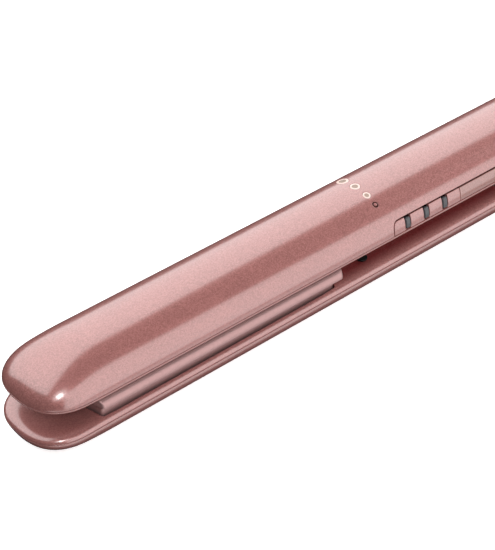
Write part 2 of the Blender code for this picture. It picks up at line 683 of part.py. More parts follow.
def add_ring_lights(parent):
    for index, (side, radius) in enumerate(RINGS, 1):
        span = (RING_STATION - 4 * MM, RING_STATION + 4 * MM)
        # A plug of the crown's own curve, with a light guide down to its LED.
        across = math.acos(max(-1.0, min(1.0, side / (ARM_WIDTH / 2))))
        band = flank_band(span, 0.03 * MM, WALL, (min(math.pi, across + 0.6), max(0, across - 0.6)), 16)
        lens = add_object(f"ring_lens_{index}", band, "light_lens", parent)
        plug = upright(1, RING_STATION, side, (10 * MM, 22 * MM), radius, 24)
        boolean(lens, add_cutter(f"ring_plug_{index}", [plug], parent), 'INTERSECT')
        low_wall = section_height(side, WALL) + 0.3 * MM
        guide = upright(1, RING_STATION, side, (RING_GUIDE_END, low_wall), radius * 0.6, 12)
        boolean(lens, add_cutter(f"ring_guide_{index}", [guide], parent), 'UNION')
        led = box(1, (RING_STATION - 0.8 * MM, RING_STATION + 0.8 * MM), (side - 0.6 * MM, side + 0.6 * MM),
                  (BOARD_HEIGHT + BOARD_THICK + GAP, RING_GUIDE_END - GAP))
        add_object(f"ring_led_{index}", led, "led_body", parent, smooth=False)


def add_control_board(parent):
    board = box(1, CONTROL_BOARD, (-BOARD_HALF_WIDTH, BOARD_HALF_WIDTH),
                (BOARD_HEIGHT, BOARD_HEIGHT + BOARD_THICK))
    add_object("control_board", board, "circuit_board", parent, smooth=False)
    for index, label in enumerate(BUTTONS):
        station = button_station(index)
        switch = box(1, (station - SWITCH_HALF, station + SWITCH_HALF), (SWITCH_FRONT, -BOARD_HALF_WIDTH - GAP),
                     (BUTTON_CENTRE - SWITCH_HALF, BUTTON_CENTRE + SWITCH_HALF))
        add_object(f"tact_switch_{label}", switch, "black_plastic", parent, smooth=False)


def build_upper_arm():
    arm = pivot("arm_hinge_axis", HINGE, REST_OPENING)
    cover = add_cover("upper_cover", 1, arm)
    notch = [side_region((PANEL[0], TRIM[1]), PANEL_TOP, PANEL_CORNER, SIDE_GAP, TRIM_CORNER)]
    boolean(cover, add_cutter("upper_cover_notch", notch, arm), 'DIFFERENCE')
    holes = [upright(1, RING_STATION, side, (9 * MM, 22 * MM), radius + RING_CLEARANCE, 24)
             for side, radius in RINGS]
    boolean(cover, add_cutter("upper_cover_ring_holes", holes, arm), 'DIFFERENCE')
    centre = (-UPPER_KNUCKLE[0] + SLOT_SIDE, UPPER_KNUCKLE[0] - SLOT_SIDE)
    outer = (LOWER_KNUCKLE[0] - SLOT_SIDE, LOWER_KNUCKLE[1] + SLOT_SIDE)
    slots = (centre, outer, (-outer[1], -outer[0]))
    add_inner_shell("upper_inner_shell", 1, arm, slots, UPPER_KNUCKLE)
    add_screws("upper", 1, arm)
    add_float_pads("upper", 1, arm)
    add_heater_leads("upper", 1, arm)
    add_side_band(arm)
    add_ring_lights(arm)
    add_control_board(arm)
    add_buttons(arm)
    middle = place(1, PLATE_MIDDLE, 0, PLATE_FACE)
    plate_body = pivot("upper_plate_slide", middle, parent=arm)
    add_plate("upper", 1, plate_body)
    add_heater("upper", 1, plate_body)
    add_sensor("thermistor", 1, THERMISTOR_RADIUS, THERMISTOR_HALF, "sensor_brass", plate_body)


# Lower arm

def add_hinge():
    ends = [HINGE + Vector((0, way * PIN_HALF, 0)) for way in (-1, 1)]
    pin = add_object("hinge_pin", rod(ends[0], ends[1], PIN_RADIUS), "screw_steel")
    heads = []
    for way, end in zip((-1, 1), ends):
        outward = Vector((0, way, 0))
        heads.append(rod(end - outward * 0.1 * MM, end + outward * PIN_HEAD, PIN_HEAD_RADIUS, 24))
    boolean(pin, add_cutter("hinge_pin_heads", heads), 'UNION')
    points = [HINGE + Vector((-SPRING_LEG_REACH, -SPRING_HALF, -SPRING_LEG_HEIGHT)),
              HINGE + Vector((-SPRING_COIL * 1.5, -SPRING_HALF, -SPRING_LEG_HEIGHT))]
    per_turn = 12
    count = SPRING_TURNS * per_turn + per_turn // 2
    for step in range(count + 1):
        angle = -math.pi / 2 + math.tau * step / per_turn
        along = SPRING_HALF * (2 * step / count - 1)
        points.append(HINGE + Vector((SPRING_COIL * math.cos(angle), along, SPRING_COIL * math.sin(angle))))
    points += [HINGE + Vector((-SPRING_COIL * 1.5, SPRING_HALF, SPRING_LEG_HEIGHT)),
               HINGE + Vector((-SPRING_LEG_REACH, SPRING_HALF, SPRING_LEG_HEIGHT))]
    tube("hinge_spring", points, SPRING_WIRE, "screw_steel", None, resolution=1)


def turned(name, profile, material, parent=None):
    """Turn a closed profile of (station, radius) about the swivel's axis."""
    mesh = bpy.data.meshes.new(name)
    bm = bmesh.new()
    start = TIP_X + profile[0][0]
    ring = [bm.verts.new((radius, 0, start - TIP_X - station)) for station, radius in profile]
    for first, second in zip(ring, ring[1:] + ring[:1]):
        bm.edges.new((first, second))
    bm.to_mesh(mesh)
    bm.free()
    mesh.materials.append(MATERIALS[material])
    part = bpy.data.objects.new(name, mesh)
    PARTS.objects.link(part)
    screw = part.modifiers.new("turn", 'SCREW')
    screw.steps = 24
    screw.render_steps = 24
    screw.use_merge_vertices = True
    screw.merge_threshold = 0.00001
    screw.use_smooth_shade = True
    part.rotation_euler = (0, -math.pi / 2, 0)
    place_at = Vector((start, 0, MEETING_Z - GLAND_HEIGHT))
    part.location = place_at - (ORIGINS[parent.name] if parent else Vector())
    part.parent = parent
    return part


def add_swivel():
    turned("swivel_collar", ((COLLAR_START, COLLAR_RADIUS), (COLLAR_END - 0.8 * MM, COLLAR_RADIUS),
                             (COLLAR_END, COLLAR_RADIUS - 0.8 * MM), (COLLAR_END, GLAND_RADIUS + GAP),
                             (COLLAR_START, GLAND_RADIUS + GAP)), "black_plastic")
    axis = pivot("cord_swivel_axis", place(-1, OVERALL_LENGTH, 0, GLAND_HEIGHT))
    groove = GLAND_RADIUS - 0.7 * MM
    flange = (COLLAR_START - GAP - 1.5 * MM, COLLAR_START - GAP)
    clip_seat = (flange[0] - 1.6 * MM, flange[0] - 0.4 * MM)
    end = OVERALL_LENGTH
    turned("swivel_gland", (
        (clip_seat[0] - 1 * MM, GLAND_RADIUS), (clip_seat[0], GLAND_RADIUS), (clip_seat[0], groove),
        (clip_seat[1], groove), (clip_seat[1], GLAND_RADIUS), (flange[0], GLAND_RADIUS),
        (flange[0], GLAND_FLANGE_RADIUS), (flange[1], GLAND_FLANGE_RADIUS), (flange[1], GLAND_RADIUS),
        (COLLAR_END + GAP, GLAND_RADIUS), (COLLAR_END + GAP, GLAND_TAIL_RADIUS - 0.5 * MM),
        (COLLAR_END + 1.2 * MM, GLAND_TAIL_RADIUS), (end - 2 * MM, GLAND_TAIL_RADIUS - 0.3 * MM),
        (end, GLAND_RADIUS), (end, GLAND_BORE), (clip_seat[0] - 1 * MM, GLAND_BORE)), "black_plastic", axis)
    clip = (clip_seat[0] + 0.2 * MM, clip_seat[1] - 0.2 * MM)
    turned("swivel_clip", ((clip[0], GLAND_FLANGE_RADIUS), (clip[1], GLAND_FLANGE_RADIUS),
                           (clip[1], groove + 0.2 * MM), (clip[0], groove + 0.2 * MM)), "screw_steel", axis)


def add_power_parts():
    board = box(-1, POWER_BOARD, (-BOARD_HALF_WIDTH, BOARD_HALF_WIDTH),
                (BOARD_HEIGHT, BOARD_HEIGHT + BOARD_THICK))
    add_object("power_board", board, "circuit_board", smooth=False)
    above = BOARD_HEIGHT + BOARD_THICK + GAP
    triac = box(-1, TRIAC, (-TRIAC_HALF_WIDTH, TRIAC_HALF_WIDTH), (above, above + TRIAC_TALL))
    add_object("triac", triac, "black_plastic", smooth=False)
    sides = (-TERMINAL_HALF_WIDTH, TERMINAL_HALF_WIDTH)
    block = box(-1, TERMINAL_BLOCK, sides, (SHELL_FLOOR_TOP + GAP, TERMINAL_TOP))
    add_object("terminal_block", block, "black_plastic", smooth=False)


def add_stop_pads():
    for label, side in (("near", -STOP_PAD_SIDE), ("far", STOP_PAD_SIDE)):
        heights = (INNER_FACE - STOP_PAD_PROUD, INNER_FACE - GAP)
        pad = add_object(f"stop_pad_{label}",
                         upright(-1, STOP_PAD_STATION, side, heights, STOP_PAD_RADIUS, 24), "black_rubber")
        edge = pad.modifiers.new("soft_edge", 'BEVEL')
        edge.width = 0.2 * MM
        edge.segments = 2
        edge.limit_method = 'ANGLE'


def build_lower_arm():
    cover = add_cover("lower_cover", -1, None)
    flat = box(-1, (0, ARM_LENGTH), (-20 * MM, 20 * MM), (REST_FLAT, CROWN + 2 * MM))
    boolean(cover, add_cutter("lower_cover_flat", [flat]), 'DIFFERENCE')
    outlet = rod(place(-1, COLLAR_START - 1.5 * MM, 0, GLAND_HEIGHT),
                 place(-1, COLLAR_END + 4 * MM, 0, GLAND_HEIGHT), COLLAR_RADIUS + GAP, 32)
    boolean(cover, add_cutter("lower_cover_outlet", [outlet]), 'DIFFERENCE')
    inner = UPPER_KNUCKLE[1] + SLOT_SIDE
    shell = add_inner_shell("lower_inner_shell", -1, None, ((-inner, inner),), LOWER_KNUCKLE)
    boolean(shell, bpy.data.objects["lower_cover_outlet"], 'DIFFERENCE')
    add_screws("lower", -1, None)
    add_float_pads("lower", -1, None)
    add_heater_leads("lower", -1, None)
    add_stop_pads()
    add_power_parts()
    add_hinge()
    add_swivel()
    plate_body = pivot("lower_plate_slide", place(-1, PLATE_MIDDLE, 0, PLATE_FACE))
    add_plate("lower", -1, plate_body)
    add_heater("lower", -1, plate_body)
    add_sensor("thermal_fuse", -1, FUSE_RADIUS, FUSE_HALF, "screw_steel", plate_body)


clear_scene()
PARTS = new_collection("flat_iron")
CUTTERS = new_collection("cutters")
ORIGINS = {}
MATERIALS = {name: make_material(name) for name in COLOURS}
build_lower_arm()
build_upper_arm()
bpy.context.view_layer.update()
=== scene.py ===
"""The looks of the flat iron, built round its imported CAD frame.

An arm's own coordinates are millimetres: station from the tips, side, and height away from the
plane where the heating plates meet. to_world() puts them on the upper or on the lower arm.
"""
import json
import math

import bmesh
import bpy
import numpy as np
from mathutils import Matrix, Vector


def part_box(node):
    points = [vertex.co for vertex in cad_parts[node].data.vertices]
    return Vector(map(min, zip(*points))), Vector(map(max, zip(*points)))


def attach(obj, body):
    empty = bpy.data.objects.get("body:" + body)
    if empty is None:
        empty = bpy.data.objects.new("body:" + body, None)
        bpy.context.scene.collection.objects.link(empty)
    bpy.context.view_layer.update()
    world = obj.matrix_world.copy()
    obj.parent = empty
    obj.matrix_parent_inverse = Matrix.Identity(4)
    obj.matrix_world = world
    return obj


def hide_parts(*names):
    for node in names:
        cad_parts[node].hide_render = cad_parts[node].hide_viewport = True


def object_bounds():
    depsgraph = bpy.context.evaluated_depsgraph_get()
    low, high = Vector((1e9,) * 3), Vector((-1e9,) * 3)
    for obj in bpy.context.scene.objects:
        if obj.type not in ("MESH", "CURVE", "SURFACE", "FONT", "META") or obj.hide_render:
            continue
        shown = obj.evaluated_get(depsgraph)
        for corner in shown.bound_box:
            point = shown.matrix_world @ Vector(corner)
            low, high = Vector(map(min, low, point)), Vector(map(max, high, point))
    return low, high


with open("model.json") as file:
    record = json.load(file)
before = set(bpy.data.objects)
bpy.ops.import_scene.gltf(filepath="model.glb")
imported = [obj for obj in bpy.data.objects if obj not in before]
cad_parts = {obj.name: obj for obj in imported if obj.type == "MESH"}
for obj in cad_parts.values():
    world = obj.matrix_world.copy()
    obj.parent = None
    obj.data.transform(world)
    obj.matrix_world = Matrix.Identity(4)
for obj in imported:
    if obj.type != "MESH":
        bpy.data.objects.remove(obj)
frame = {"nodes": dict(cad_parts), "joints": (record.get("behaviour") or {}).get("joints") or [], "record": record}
CAD_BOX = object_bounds()

MM = 0.001
JOINTS = {joint["name"]: joint for joint in frame["joints"]}
HINGE = Vector(JOINTS["arm_hinge"]["pos_m"])
REST_OPENING = math.radians(-JOINTS["arm_hinge"]["range_deg"][0])
COVER_LOW, COVER_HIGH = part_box("lower_cover")
TIP_X = COVER_LOW.x
UPPER, LOWER = 1, -1
UPPER_POSE = (Matrix.Translation(HINGE) @ Matrix.Rotation(REST_OPENING, 4, 'Y')
              @ Matrix.Translation(-HINGE))

# An arm, in its own millimetres
ARM_LENGTH = (COVER_HIGH.x - COVER_LOW.x) / MM
HALF_WIDTH = COVER_HIGH.y / MM
REST_FLAT = (HINGE.z - COVER_LOW.z) / MM
CROWN, BASE, GAP = 18.4, 5.55, 0.3
SEAM_EXTRA = 0.06  # a little more gap at the parting lines, so that they show
CUT_ROLL = 0.14  # the radius that rolls over a shell's cut edges
SECTION_POWER, LOWER_SECTION_POWER = 2.04, 1.78
TIP_LENGTH, TIP_POWER = 18.1, 2.45
TIP_CROWN_LENGTH, TIP_CROWN_POWER = 27.8, 2.0
TIP_LIFT, TIP_LIFT_LENGTH = 0.9, 26.0
REAR_LENGTH, REAR_CROWN_LENGTH, REAR_POWER = 12.0, 10.0, 2.5
UPPER_WALL, LOWER_WALL, SHELL_WALL = 1.6, 1.0, 1.0
EDGE_ROLL_WIDTH, EDGE_ROLL_DEPTH = 5.0, 2.3
SEAM = BASE - GAP / 2
INNER_FACE = SEAM - EDGE_ROLL_DEPTH
FLAT_ROLL = 0.25  # softens the edge of the flat that the lower cover rests on

# Heating plates
PLATE_HALF_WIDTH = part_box("upper_plate")[1].y / MM
PLATE_START, PLATE_LENGTH, PLATE_SAG = 22.4, 105.0, 3.0
PLATE_END = PLATE_START + PLATE_LENGTH
PLATE_TUCK = 0.9  # the lower plate's edges lie this far inside its CAD edges
PLATE_INSET = {
    UPPER: 0.0,
    LOWER: PLATE_HALF_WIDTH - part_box("lower_plate")[1].y / MM + PLATE_TUCK,
}
PLATE_ROUND, PLATE_FACE, PLATE_BACK = 3.2, 0.1, 4.9
PLATE_FACE_CORNER, PLATE_END_ROLL = 0.16, 0.8
WELL_HALF_WIDTH = {UPPER: 15.7, LOWER: 15.1}
WELL_END_GAP, WELL_CORNER = 0.5, 1.2

# Controls on the upper arm
PANEL, PANEL_TOP, PANEL_CORNER, PANEL_REAR_CORNER = (152.3, 184.72), 10.8, 2.0, 0.4
TRIM, TRIM_TOP, TRIM_CORNER, TRIM_FRONT_CORNER = (184.82, 262.0), 10.75, 0.8, 0.1
SIDE_GAP, SIDE_RECESS, SIDE_WALL, SIDE_ROLL = 0.45, 0.14, 1.2, 0.24
SIDE_MARGIN = 0.4  # a grid runs this far past the panel's or the trim's ends
BUTTONS = ("down", "power", "up")
BUTTON_FIRST, BUTTON_PITCH = 158.9, 9.1
BUTTON_WIDTH, BUTTON_LOW, BUTTON_TOP, BUTTON_CORNER = 2.3, 6.1, 10.6, 0.9
BUTTON_PROUD, BUTTON_ROLL, BUTTON_WALL = 0.14, 0.6, 1.4
BUTTON_GAP, BUTTON_HOLE_TOP = 0.22, PANEL_TOP + 2
RING_STATION = 149.3
RINGS = ((-8.8, 1.0), (-4.3, 1.4), (1.7, 1.8), (8.0, 2.15))  # side and outer radius
RING_HOLE = 0.64  # of a ring's outer radius
RING_GAP, CENTRE_GAP = 0.1, 0.03  # round a ring, and between a ring and its centre
RING_PROUD, CENTRE_PROUD, RING_WALL, RING_ROLL = 0.03, 0.02, 1.2, 0.05

# Inside the gap
SCREWS = ((142.5, 0.0), (212.0, -8.5), (212.0, 8.5))
SCREW_HEAD_RADIUS, SCREW_RECESS_RADIUS = 2.2, 2.5
SCREW_HEAD_DEPTH, SCREW_SEAT = 0.5, 1.0
SHANK_RADIUS, SHANK_LENGTH, SHANK_POINT = 1.1, 6.5, 7.2
CROSS_ARM, CROSS_REACH = 0.32, 1.15
HINGE_STATION = (HINGE.x - TIP_X) / MM
KNUCKLE_RADIUS, KNUCKLE_TOP = 5.0, 4.4
UPPER_KNUCKLE, LOWER_KNUCKLE = (4.0, 8.0), (8.6, 12.6)
SLOT_REACH, SLOT_SIDE, SLOT_CORNER = 6.2, 0.4, 0.6
PIN_RADIUS, PIN_HALF_LENGTH, PIN_HEAD, PIN_HEAD_RADIUS = 1.75, 12.9, 1.0, 2.8
COIL_RADIUS, COIL_TURNS, COIL_HALF_LENGTH, WIRE_RADIUS = 3.0, 5.5, 2.9, 0.4
LEG_HEIGHT, LEG_REACH = 2.1, 16.0

# Swivel
GLAND_HEIGHT = 11.2
COLLAR_RADIUS, COLLAR_START, COLLAR_END = 5.5, 274.0, 284.0
GLAND_RADIUS, GLAND_BORE, GLAND_TAIL, GLAND_START = 4.3, 3.1, 5.2, 270.0
GLAND_TAPER = 1.9

SHARP_ANGLE = math.radians(38)  # a fold sharper than this is an edge

# Grids, in millimetres along the surface
ROUND = 15.0  # turns an angle round the section into a length
TIP_ARC = TIP_CROWN_LENGTH * math.pi / 2
REAR_ARC = REAR_LENGTH * math.pi / 2
STRAIGHT = ARM_LENGTH - TIP_CROWN_LENGTH - REAR_LENGTH
REAR_START = TIP_ARC + STRAIGHT
WHOLE_ARC = REAR_START + REAR_ARC
HALF_TURN = math.pi * ROUND
FAR = 1000.0  # a signed distance that never counts


def to_world(sign, point):
    spot = Vector((TIP_X + point[0] * MM, point[1] * MM, HINGE.z + sign * point[2] * MM))
    return UPPER_POSE @ spot if sign == UPPER else spot


# The arm's form: the CAD's, but for the lower cover's slimmer section

def swell(part, power):
    part = np.clip(part, 0, 1)
    return (1 - (1 - part) ** power) ** (1 / power)


def half_width(station, inset):
    tip = swell((station - inset) / (TIP_LENGTH - inset), TIP_POWER)
    rear = swell((ARM_LENGTH - inset - station) / (REAR_LENGTH - inset), REAR_POWER)
    return (HALF_WIDTH - inset) * tip * rear


def dome(station, inset):
    tip = swell((station - inset) / (TIP_CROWN_LENGTH - inset), TIP_CROWN_POWER)
    rear = swell((ARM_LENGTH - inset - station) / (REAR_CROWN_LENGTH - inset), REAR_POWER)
    return (CROWN - inset - BASE) * tip * rear


def tip_lift(station):
    return TIP_LIFT * np.maximum(0, 1 - station / TIP_LIFT_LENGTH) ** 2


def section(station, angle, inset, section_power):
    power = 2 / section_power
    across, up = np.cos(angle), np.sin(angle)
    side = half_width(station, inset) * np.sign(across) * np.abs(across) ** power
    rim = BASE + GAP / 2 + tip_lift(station)
    height = rim + np.maximum(0, BASE + dome(station, inset) - rim) * np.abs(up) ** power
    return side, height


def arc_station(arc):
    tip = TIP_CROWN_LENGTH * (1 - np.cos(np.minimum(arc, TIP_ARC) / TIP_CROWN_LENGTH))
    run = np.clip(arc - TIP_ARC, 0, STRAIGHT)
    rear = REAR_LENGTH * np.sin(np.clip(arc - TIP_ARC - STRAIGHT, 0, REAR_ARC) / REAR_LENGTH)
    return tip + run + rear


def arc_at(station):
    """Place along the surface of a station on the straight run."""
    return TIP_ARC + station - TIP_CROWN_LENGTH


def arm_surface(inset=0.0, flat=None, section_power=SECTION_POWER):
    def surface(arc, turn):
        station = arc_station(arc)
        side, height = section(station, turn / ROUND, inset, section_power)
        if flat:
            height = soft_minimum(height, flat, FLAT_ROLL)
        return np.stack([station, side, height], -1)
    return surface


def soft_minimum(a, b, width):
    near = np.maximum(0, width - np.abs(a - b)) / width
    return np.minimum(a, b) - near ** 2 * width / 4


# Signed distances on a surface: positive outside the named shape

def block_distance(u, v, span_u, span_v, low_radius, high_radius):
    """A rounded rectangle, with a corner radius for each end of u."""
    centre_u, centre_v = sum(span_u) / 2, sum(span_v) / 2
    radius = np.where(u < centre_u, low_radius, high_radius)
    past_u = np.abs(u - centre_u) - (span_u[1] - span_u[0]) / 2 + radius
    past_v = np.abs(v - centre_v) - (span_v[1] - span_v[0]) / 2 + radius
    outside = np.hypot(np.maximum(past_u, 0), np.maximum(past_v, 0))
    return outside + np.minimum(np.maximum(past_u, past_v), 0) - radius


def near_side(distance, side):
    return np.where(side < 0, distance, FAR)


def rim_distance(spot):
    return spot[..., 2] - (BASE + GAP / 2 + SEAM_EXTRA + tip_lift(spot[..., 0]))


def region_distance(spot, span, top, front, rear, grow=0.0):
    """A block on the flank, whose low corners are below the cover's rim."""
    low = BASE - 6.0
    radii = (front + grow, rear + grow)
    stations = (span[0] - grow, span[1] + grow)
    return block_distance(spot[..., 0], spot[..., 2], stations, (low, top + grow), *radii)


def button_distance(spot, index, grow=0.0, top=BUTTON_TOP):
    middle = BUTTON_FIRST + index * BUTTON_PITCH
    stations = (middle - BUTTON_WIDTH / 2 - grow, middle + BUTTON_WIDTH / 2 + grow)
    heights = (BUTTON_LOW - grow, top + grow)
    corner = BUTTON_CORNER + grow
    return block_distance(spot[..., 0], spot[..., 2], stations, heights, corner, corner)


def circle_distance(spot, station, side, radius):
    return np.hypot(spot[..., 0] - station, spot[..., 1] - side) - radius


# Mesh building, in an arm's own millimetres

def slope(keep, surface, u, v):
    """How fast keep changes along each of a surface's coordinates."""
    reach = 0.01
    along_u = keep(surface(u + reach, v)) - keep(surface(u - reach, v))
    along_v = keep(surface(u, v + reach)) - keep(surface(u, v - reach))
    return along_u / (2 * reach), along_v / (2 * reach)


def sheet(surface, us, vs, keep, roll):
    """An open grid of the part of a surface where keep is over roll; its cut edges are at roll."""
    u, v = np.meshgrid(us, vs, indexing='ij')
    middle_u = (u[:-1, :-1] + u[1:, 1:]) / 2
    middle_v = (v[:-1, :-1] + v[1:, 1:]) / 2
    cells = keep(surface(middle_u, middle_v)) > roll
    # Two cells that meet only at a corner get a third one beside them.
    for _ in range(3):
        first_pair = cells[:-1, :-1] & cells[1:, 1:]
        second_pair = cells[1:, :-1] & cells[:-1, 1:]
        first_others = cells[1:, :-1] | cells[:-1, 1:]
        second_others = cells[:-1, :-1] | cells[1:, 1:]
        cells[:-1, 1:] |= first_pair & ~first_others
        cells[:-1, :-1] |= second_pair & ~second_others
    touching = np.zeros(u.shape)
    possible = np.zeros(u.shape)
    for du in (0, 1):
        for dv in (0, 1):
            window = (slice(du, du + cells.shape[0]), slice(dv, dv + cells.shape[1]))
            touching[window] += cells
            possible[window] += 1
    # The vertices at the cut move to where keep is roll, a limited step at a time.
    cut = (touching > 0) & (touching < possible)
    least_slope, longest_step = 0.05, 0.6
    for _ in range(12):
        cu, cv = u[cut], v[cut]
        miss = keep(surface(cu, cv)) - roll
        slope_u, slope_v = slope(keep, surface, cu, cv)
        step = miss / np.maximum(slope_u ** 2 + slope_v ** 2, least_slope)
        step = np.clip(step, -longest_step, longest_step)
        u[cut] = np.clip(cu - step * slope_u, us[0], us[-1])
        v[cut] = np.clip(cv - step * slope_v, vs[0], vs[-1])
    spots = surface(u, v)
    bm = bmesh.new()
    verts = {}
    for i, j in zip(*np.nonzero(touching)):
        verts[i, j] = bm.verts.new(spots[i, j])
    for i, j in zip(*np.nonzero(cells)):
        bm.faces.new((verts[i, j], verts[i, j + 1], verts[i + 1, j + 1], verts[i + 1, j]))
    bmesh.ops.remove_doubles(bm, verts=bm.verts, dist=0.004)
    return bm


def edge_loops(bm):
    """Boundary loops, each in the direction of its faces."""
    after = {}
    for edge in bm.edges:
        if len(edge.link_faces) == 1:
            corner = edge.link_loops[0]
            after[corner.vert] = corner.link_loop_next.vert
    loops = []
    while after:
        start, vert = next(iter(after.items()))
        loop = [start]
        del after[start]
        while vert is not start and vert in after:
            loop.append(vert)
            vert = after.pop(vert)
        loops.append(loop)
    return loops


def bridge(bm, first, second):
    for k in range(len(first)):
        after = (k + 1) % len(first)
        bm.faces.new((first[k], first[after], second[after], second[k]))


def thicken(bm, wall, roll, steps):
    """Close an open sheet into a skin of that wall, with its edges rolled over."""
    bm.normal_update()
    outside = list(bm.faces)
    loops = edge_loops(bm)
    normals = {vert: vert.normal.copy() for vert in bm.verts}
    inside = {vert: bm.verts.new(vert.co - wall * normal) for vert, normal in normals.items()}
    for face in outside:
        bm.faces.new([inside[vert] for vert in reversed(face.verts)])
    for loop in loops:
        count = len(loop)
        outward = []
        for k, vert in enumerate(loop):
            along = loop[(k + 1) % count].co - loop[k - 1].co
            outward.append(along.cross(normals[vert]).normalized())
        ring = loop
        for step in range(1, steps + 1):
            angle = math.pi / 2 * step / steps
            lip = []
            for vert, out in zip(loop, outward):
                turned = math.sin(angle) * out - (1 - math.cos(angle)) * normals[vert]
                lip.append(bm.verts.new(vert.co + roll * turned))
            bridge(bm, lip, ring)
            ring = lip
        foot = []
        for vert, out in zip(loop, outward):
            foot.append(bm.verts.new(vert.co + roll * out - wall * normals[vert]))
        bridge(bm, foot, ring)
        bridge(bm, [inside[vert] for vert in loop], foot)
    return bm


def skin(surface, us, vs, keep, wall, roll, steps=4):
    """A closed skin over the part of a surface where keep is over 0."""
    return thicken(sheet(surface, us, vs, keep, roll), wall, roll, steps)


def fillet(points, radii, steps):
    """A closed outline with its corners rounded; a radius of 0 keeps a corner."""
    out = []
    count = len(points)
    for k, radius in enumerate(radii):
        corner = Vector(points[k])
        if not radius:
            out.append(corner)
            continue
        before = (Vector(points[k - 1]) - corner).normalized()
        after = (Vector(points[(k + 1) % count]) - corner).normalized()
        half = before.angle(after) / 2
        reach = radius / math.tan(half)
        centre = corner + (before + after).normalized() * radius / math.sin(half)
        start, end = corner + before * reach, corner + after * reach
        for step in range(steps + 1):
            mixed = start.lerp(end, step / steps) - centre
            out.append(centre + mixed.normalized() * radius)
    return [tuple(point) for point in out]


def lathe(profile, spot, axis, segments=64):
    """Turn a closed profile of (along, radius) about an axis through a spot."""
    turn = Vector(axis).to_track_quat('Z', 'Y').to_matrix()
    bm = bmesh.new()
    rings = []
    for along, radius in profile:
        if radius == 0:
            rings.append([bm.verts.new(Vector(spot) + turn @ Vector((0, 0, along)))])
            continue
        ring = []
        for k in range(segments):
            angle = math.tau * k / segments
            place = Vector((radius * math.cos(angle), radius * math.sin(angle), along))
            ring.append(bm.verts.new(Vector(spot) + turn @ place))
        rings.append(ring)
    for first, second in zip(rings, rings[1:] + rings[:1]):
        if len(first) == len(second) == 1:
            continue
        for k in range(segments):
            after = (k + 1) % segments
            if len(first) == 1:
                bm.faces.new((first[0], second[after], second[k]))
            elif len(second) == 1:
                bm.faces.new((first[k], first[after], second[0]))
            else:
                bm.faces.new((first[k], first[after], second[after], second[k]))
    return bm


def circle(radius, steps=48, centre=(0, 0)):
    angles = [math.tau * k / steps for k in range(steps)]
    return [(centre[0] + radius * math.cos(a), centre[1] + radius * math.sin(a)) for a in angles]


def drawn_in(outline, amount):
    """An anticlockwise outline moved inwards by an amount, or outwards by a negative one."""
    moved = []
    count = len(outline)
    for k in range(count):
        before = Vector(outline[k]) - Vector(outline[k - 1])
        after = Vector(outline[(k + 1) % count]) - Vector(outline[k])
        first = Vector((-before.y, before.x)).normalized()
        second = Vector((-after.y, after.x)).normalized()
        middle = (first + second).normalized()
        moved.append(Vector(outline[k]) + middle * amount / max(0.3, middle.dot(first)))
    return moved


def slab(outline, holes, low, high, place, roll):
    """A closed prism with holes and rounded rims. place(u, v, w) gives a point's place."""
    steps = 3
    bm = bmesh.new()
    caps = {low: [], high: []}
    for loop, way in [(outline, 1)] + [(hole, -1) for hole in holes]:
        rings = []
        for end, direction in ((low, 1), (high, -1)):
            levels = range(steps + 1) if end == low else range(steps, -1, -1)
            for step in levels:
                angle = math.pi / 2 * step / steps
                inset = way * roll * (1 - math.sin(angle))
                depth = end + direction * roll * (1 - math.cos(angle))
                rings.append([bm.verts.new(place(p.x, p.y, depth)) for p in drawn_in(loop, inset)])
        for first, second in zip(rings, rings[1:]):
            bridge(bm, first, second)
        caps[low].append(rings[0])
        caps[high].append(rings[-1])
    for rims in caps.values():
        edges = []
        for rim in rims:
            for k in range(len(rim)):
                edges.append(bm.edges.get((rim[k - 1], rim[k])))
        bmesh.ops.triangle_fill(bm, edges=edges, use_beauty=True)
    return bm


def join(*shapes):
    bm = bmesh.new()
    for shape in shapes:
        scratch = bpy.data.meshes.new("scratch")
        shape.to_mesh(scratch)
        shape.free()
        bm.from_mesh(scratch)
        bpy.data.meshes.remove(scratch)
    return bm


def add_piece(name, bm, sign, body, slot, replaces=(), material=None, weighted=False):
    """Put a closed shape onto an arm as a piece that rides on a body."""
    for vert in bm.verts:
        vert.co = to_world(sign, vert.co)
    bmesh.ops.recalc_face_normals(bm, faces=bm.faces)
    if bm.calc_volume(signed=True) < 0:
        bmesh.ops.reverse_faces(bm, faces=bm.faces)
    mesh = bpy.data.meshes.new(name)
    bm.to_mesh(mesh)
    bm.free()
    mesh.shade_smooth()
    mesh.set_sharp_from_angle(angle=SHARP_ANGLE)
    piece = bpy.data.objects.new(name, mesh)
    bpy.context.scene.collection.objects.link(piece)
    mesh.materials.append(MATERIALS[material or slot])
    if weighted:
        modifier = piece.modifiers.new("flat_faces", 'WEIGHTED_NORMAL')
        modifier.keep_sharp = True
    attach(piece, body)
    if replaces:
        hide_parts(*replaces)


# Materials

def socket_name(key):
    return key.replace("_", " ").title().replace("Ior", "IOR")


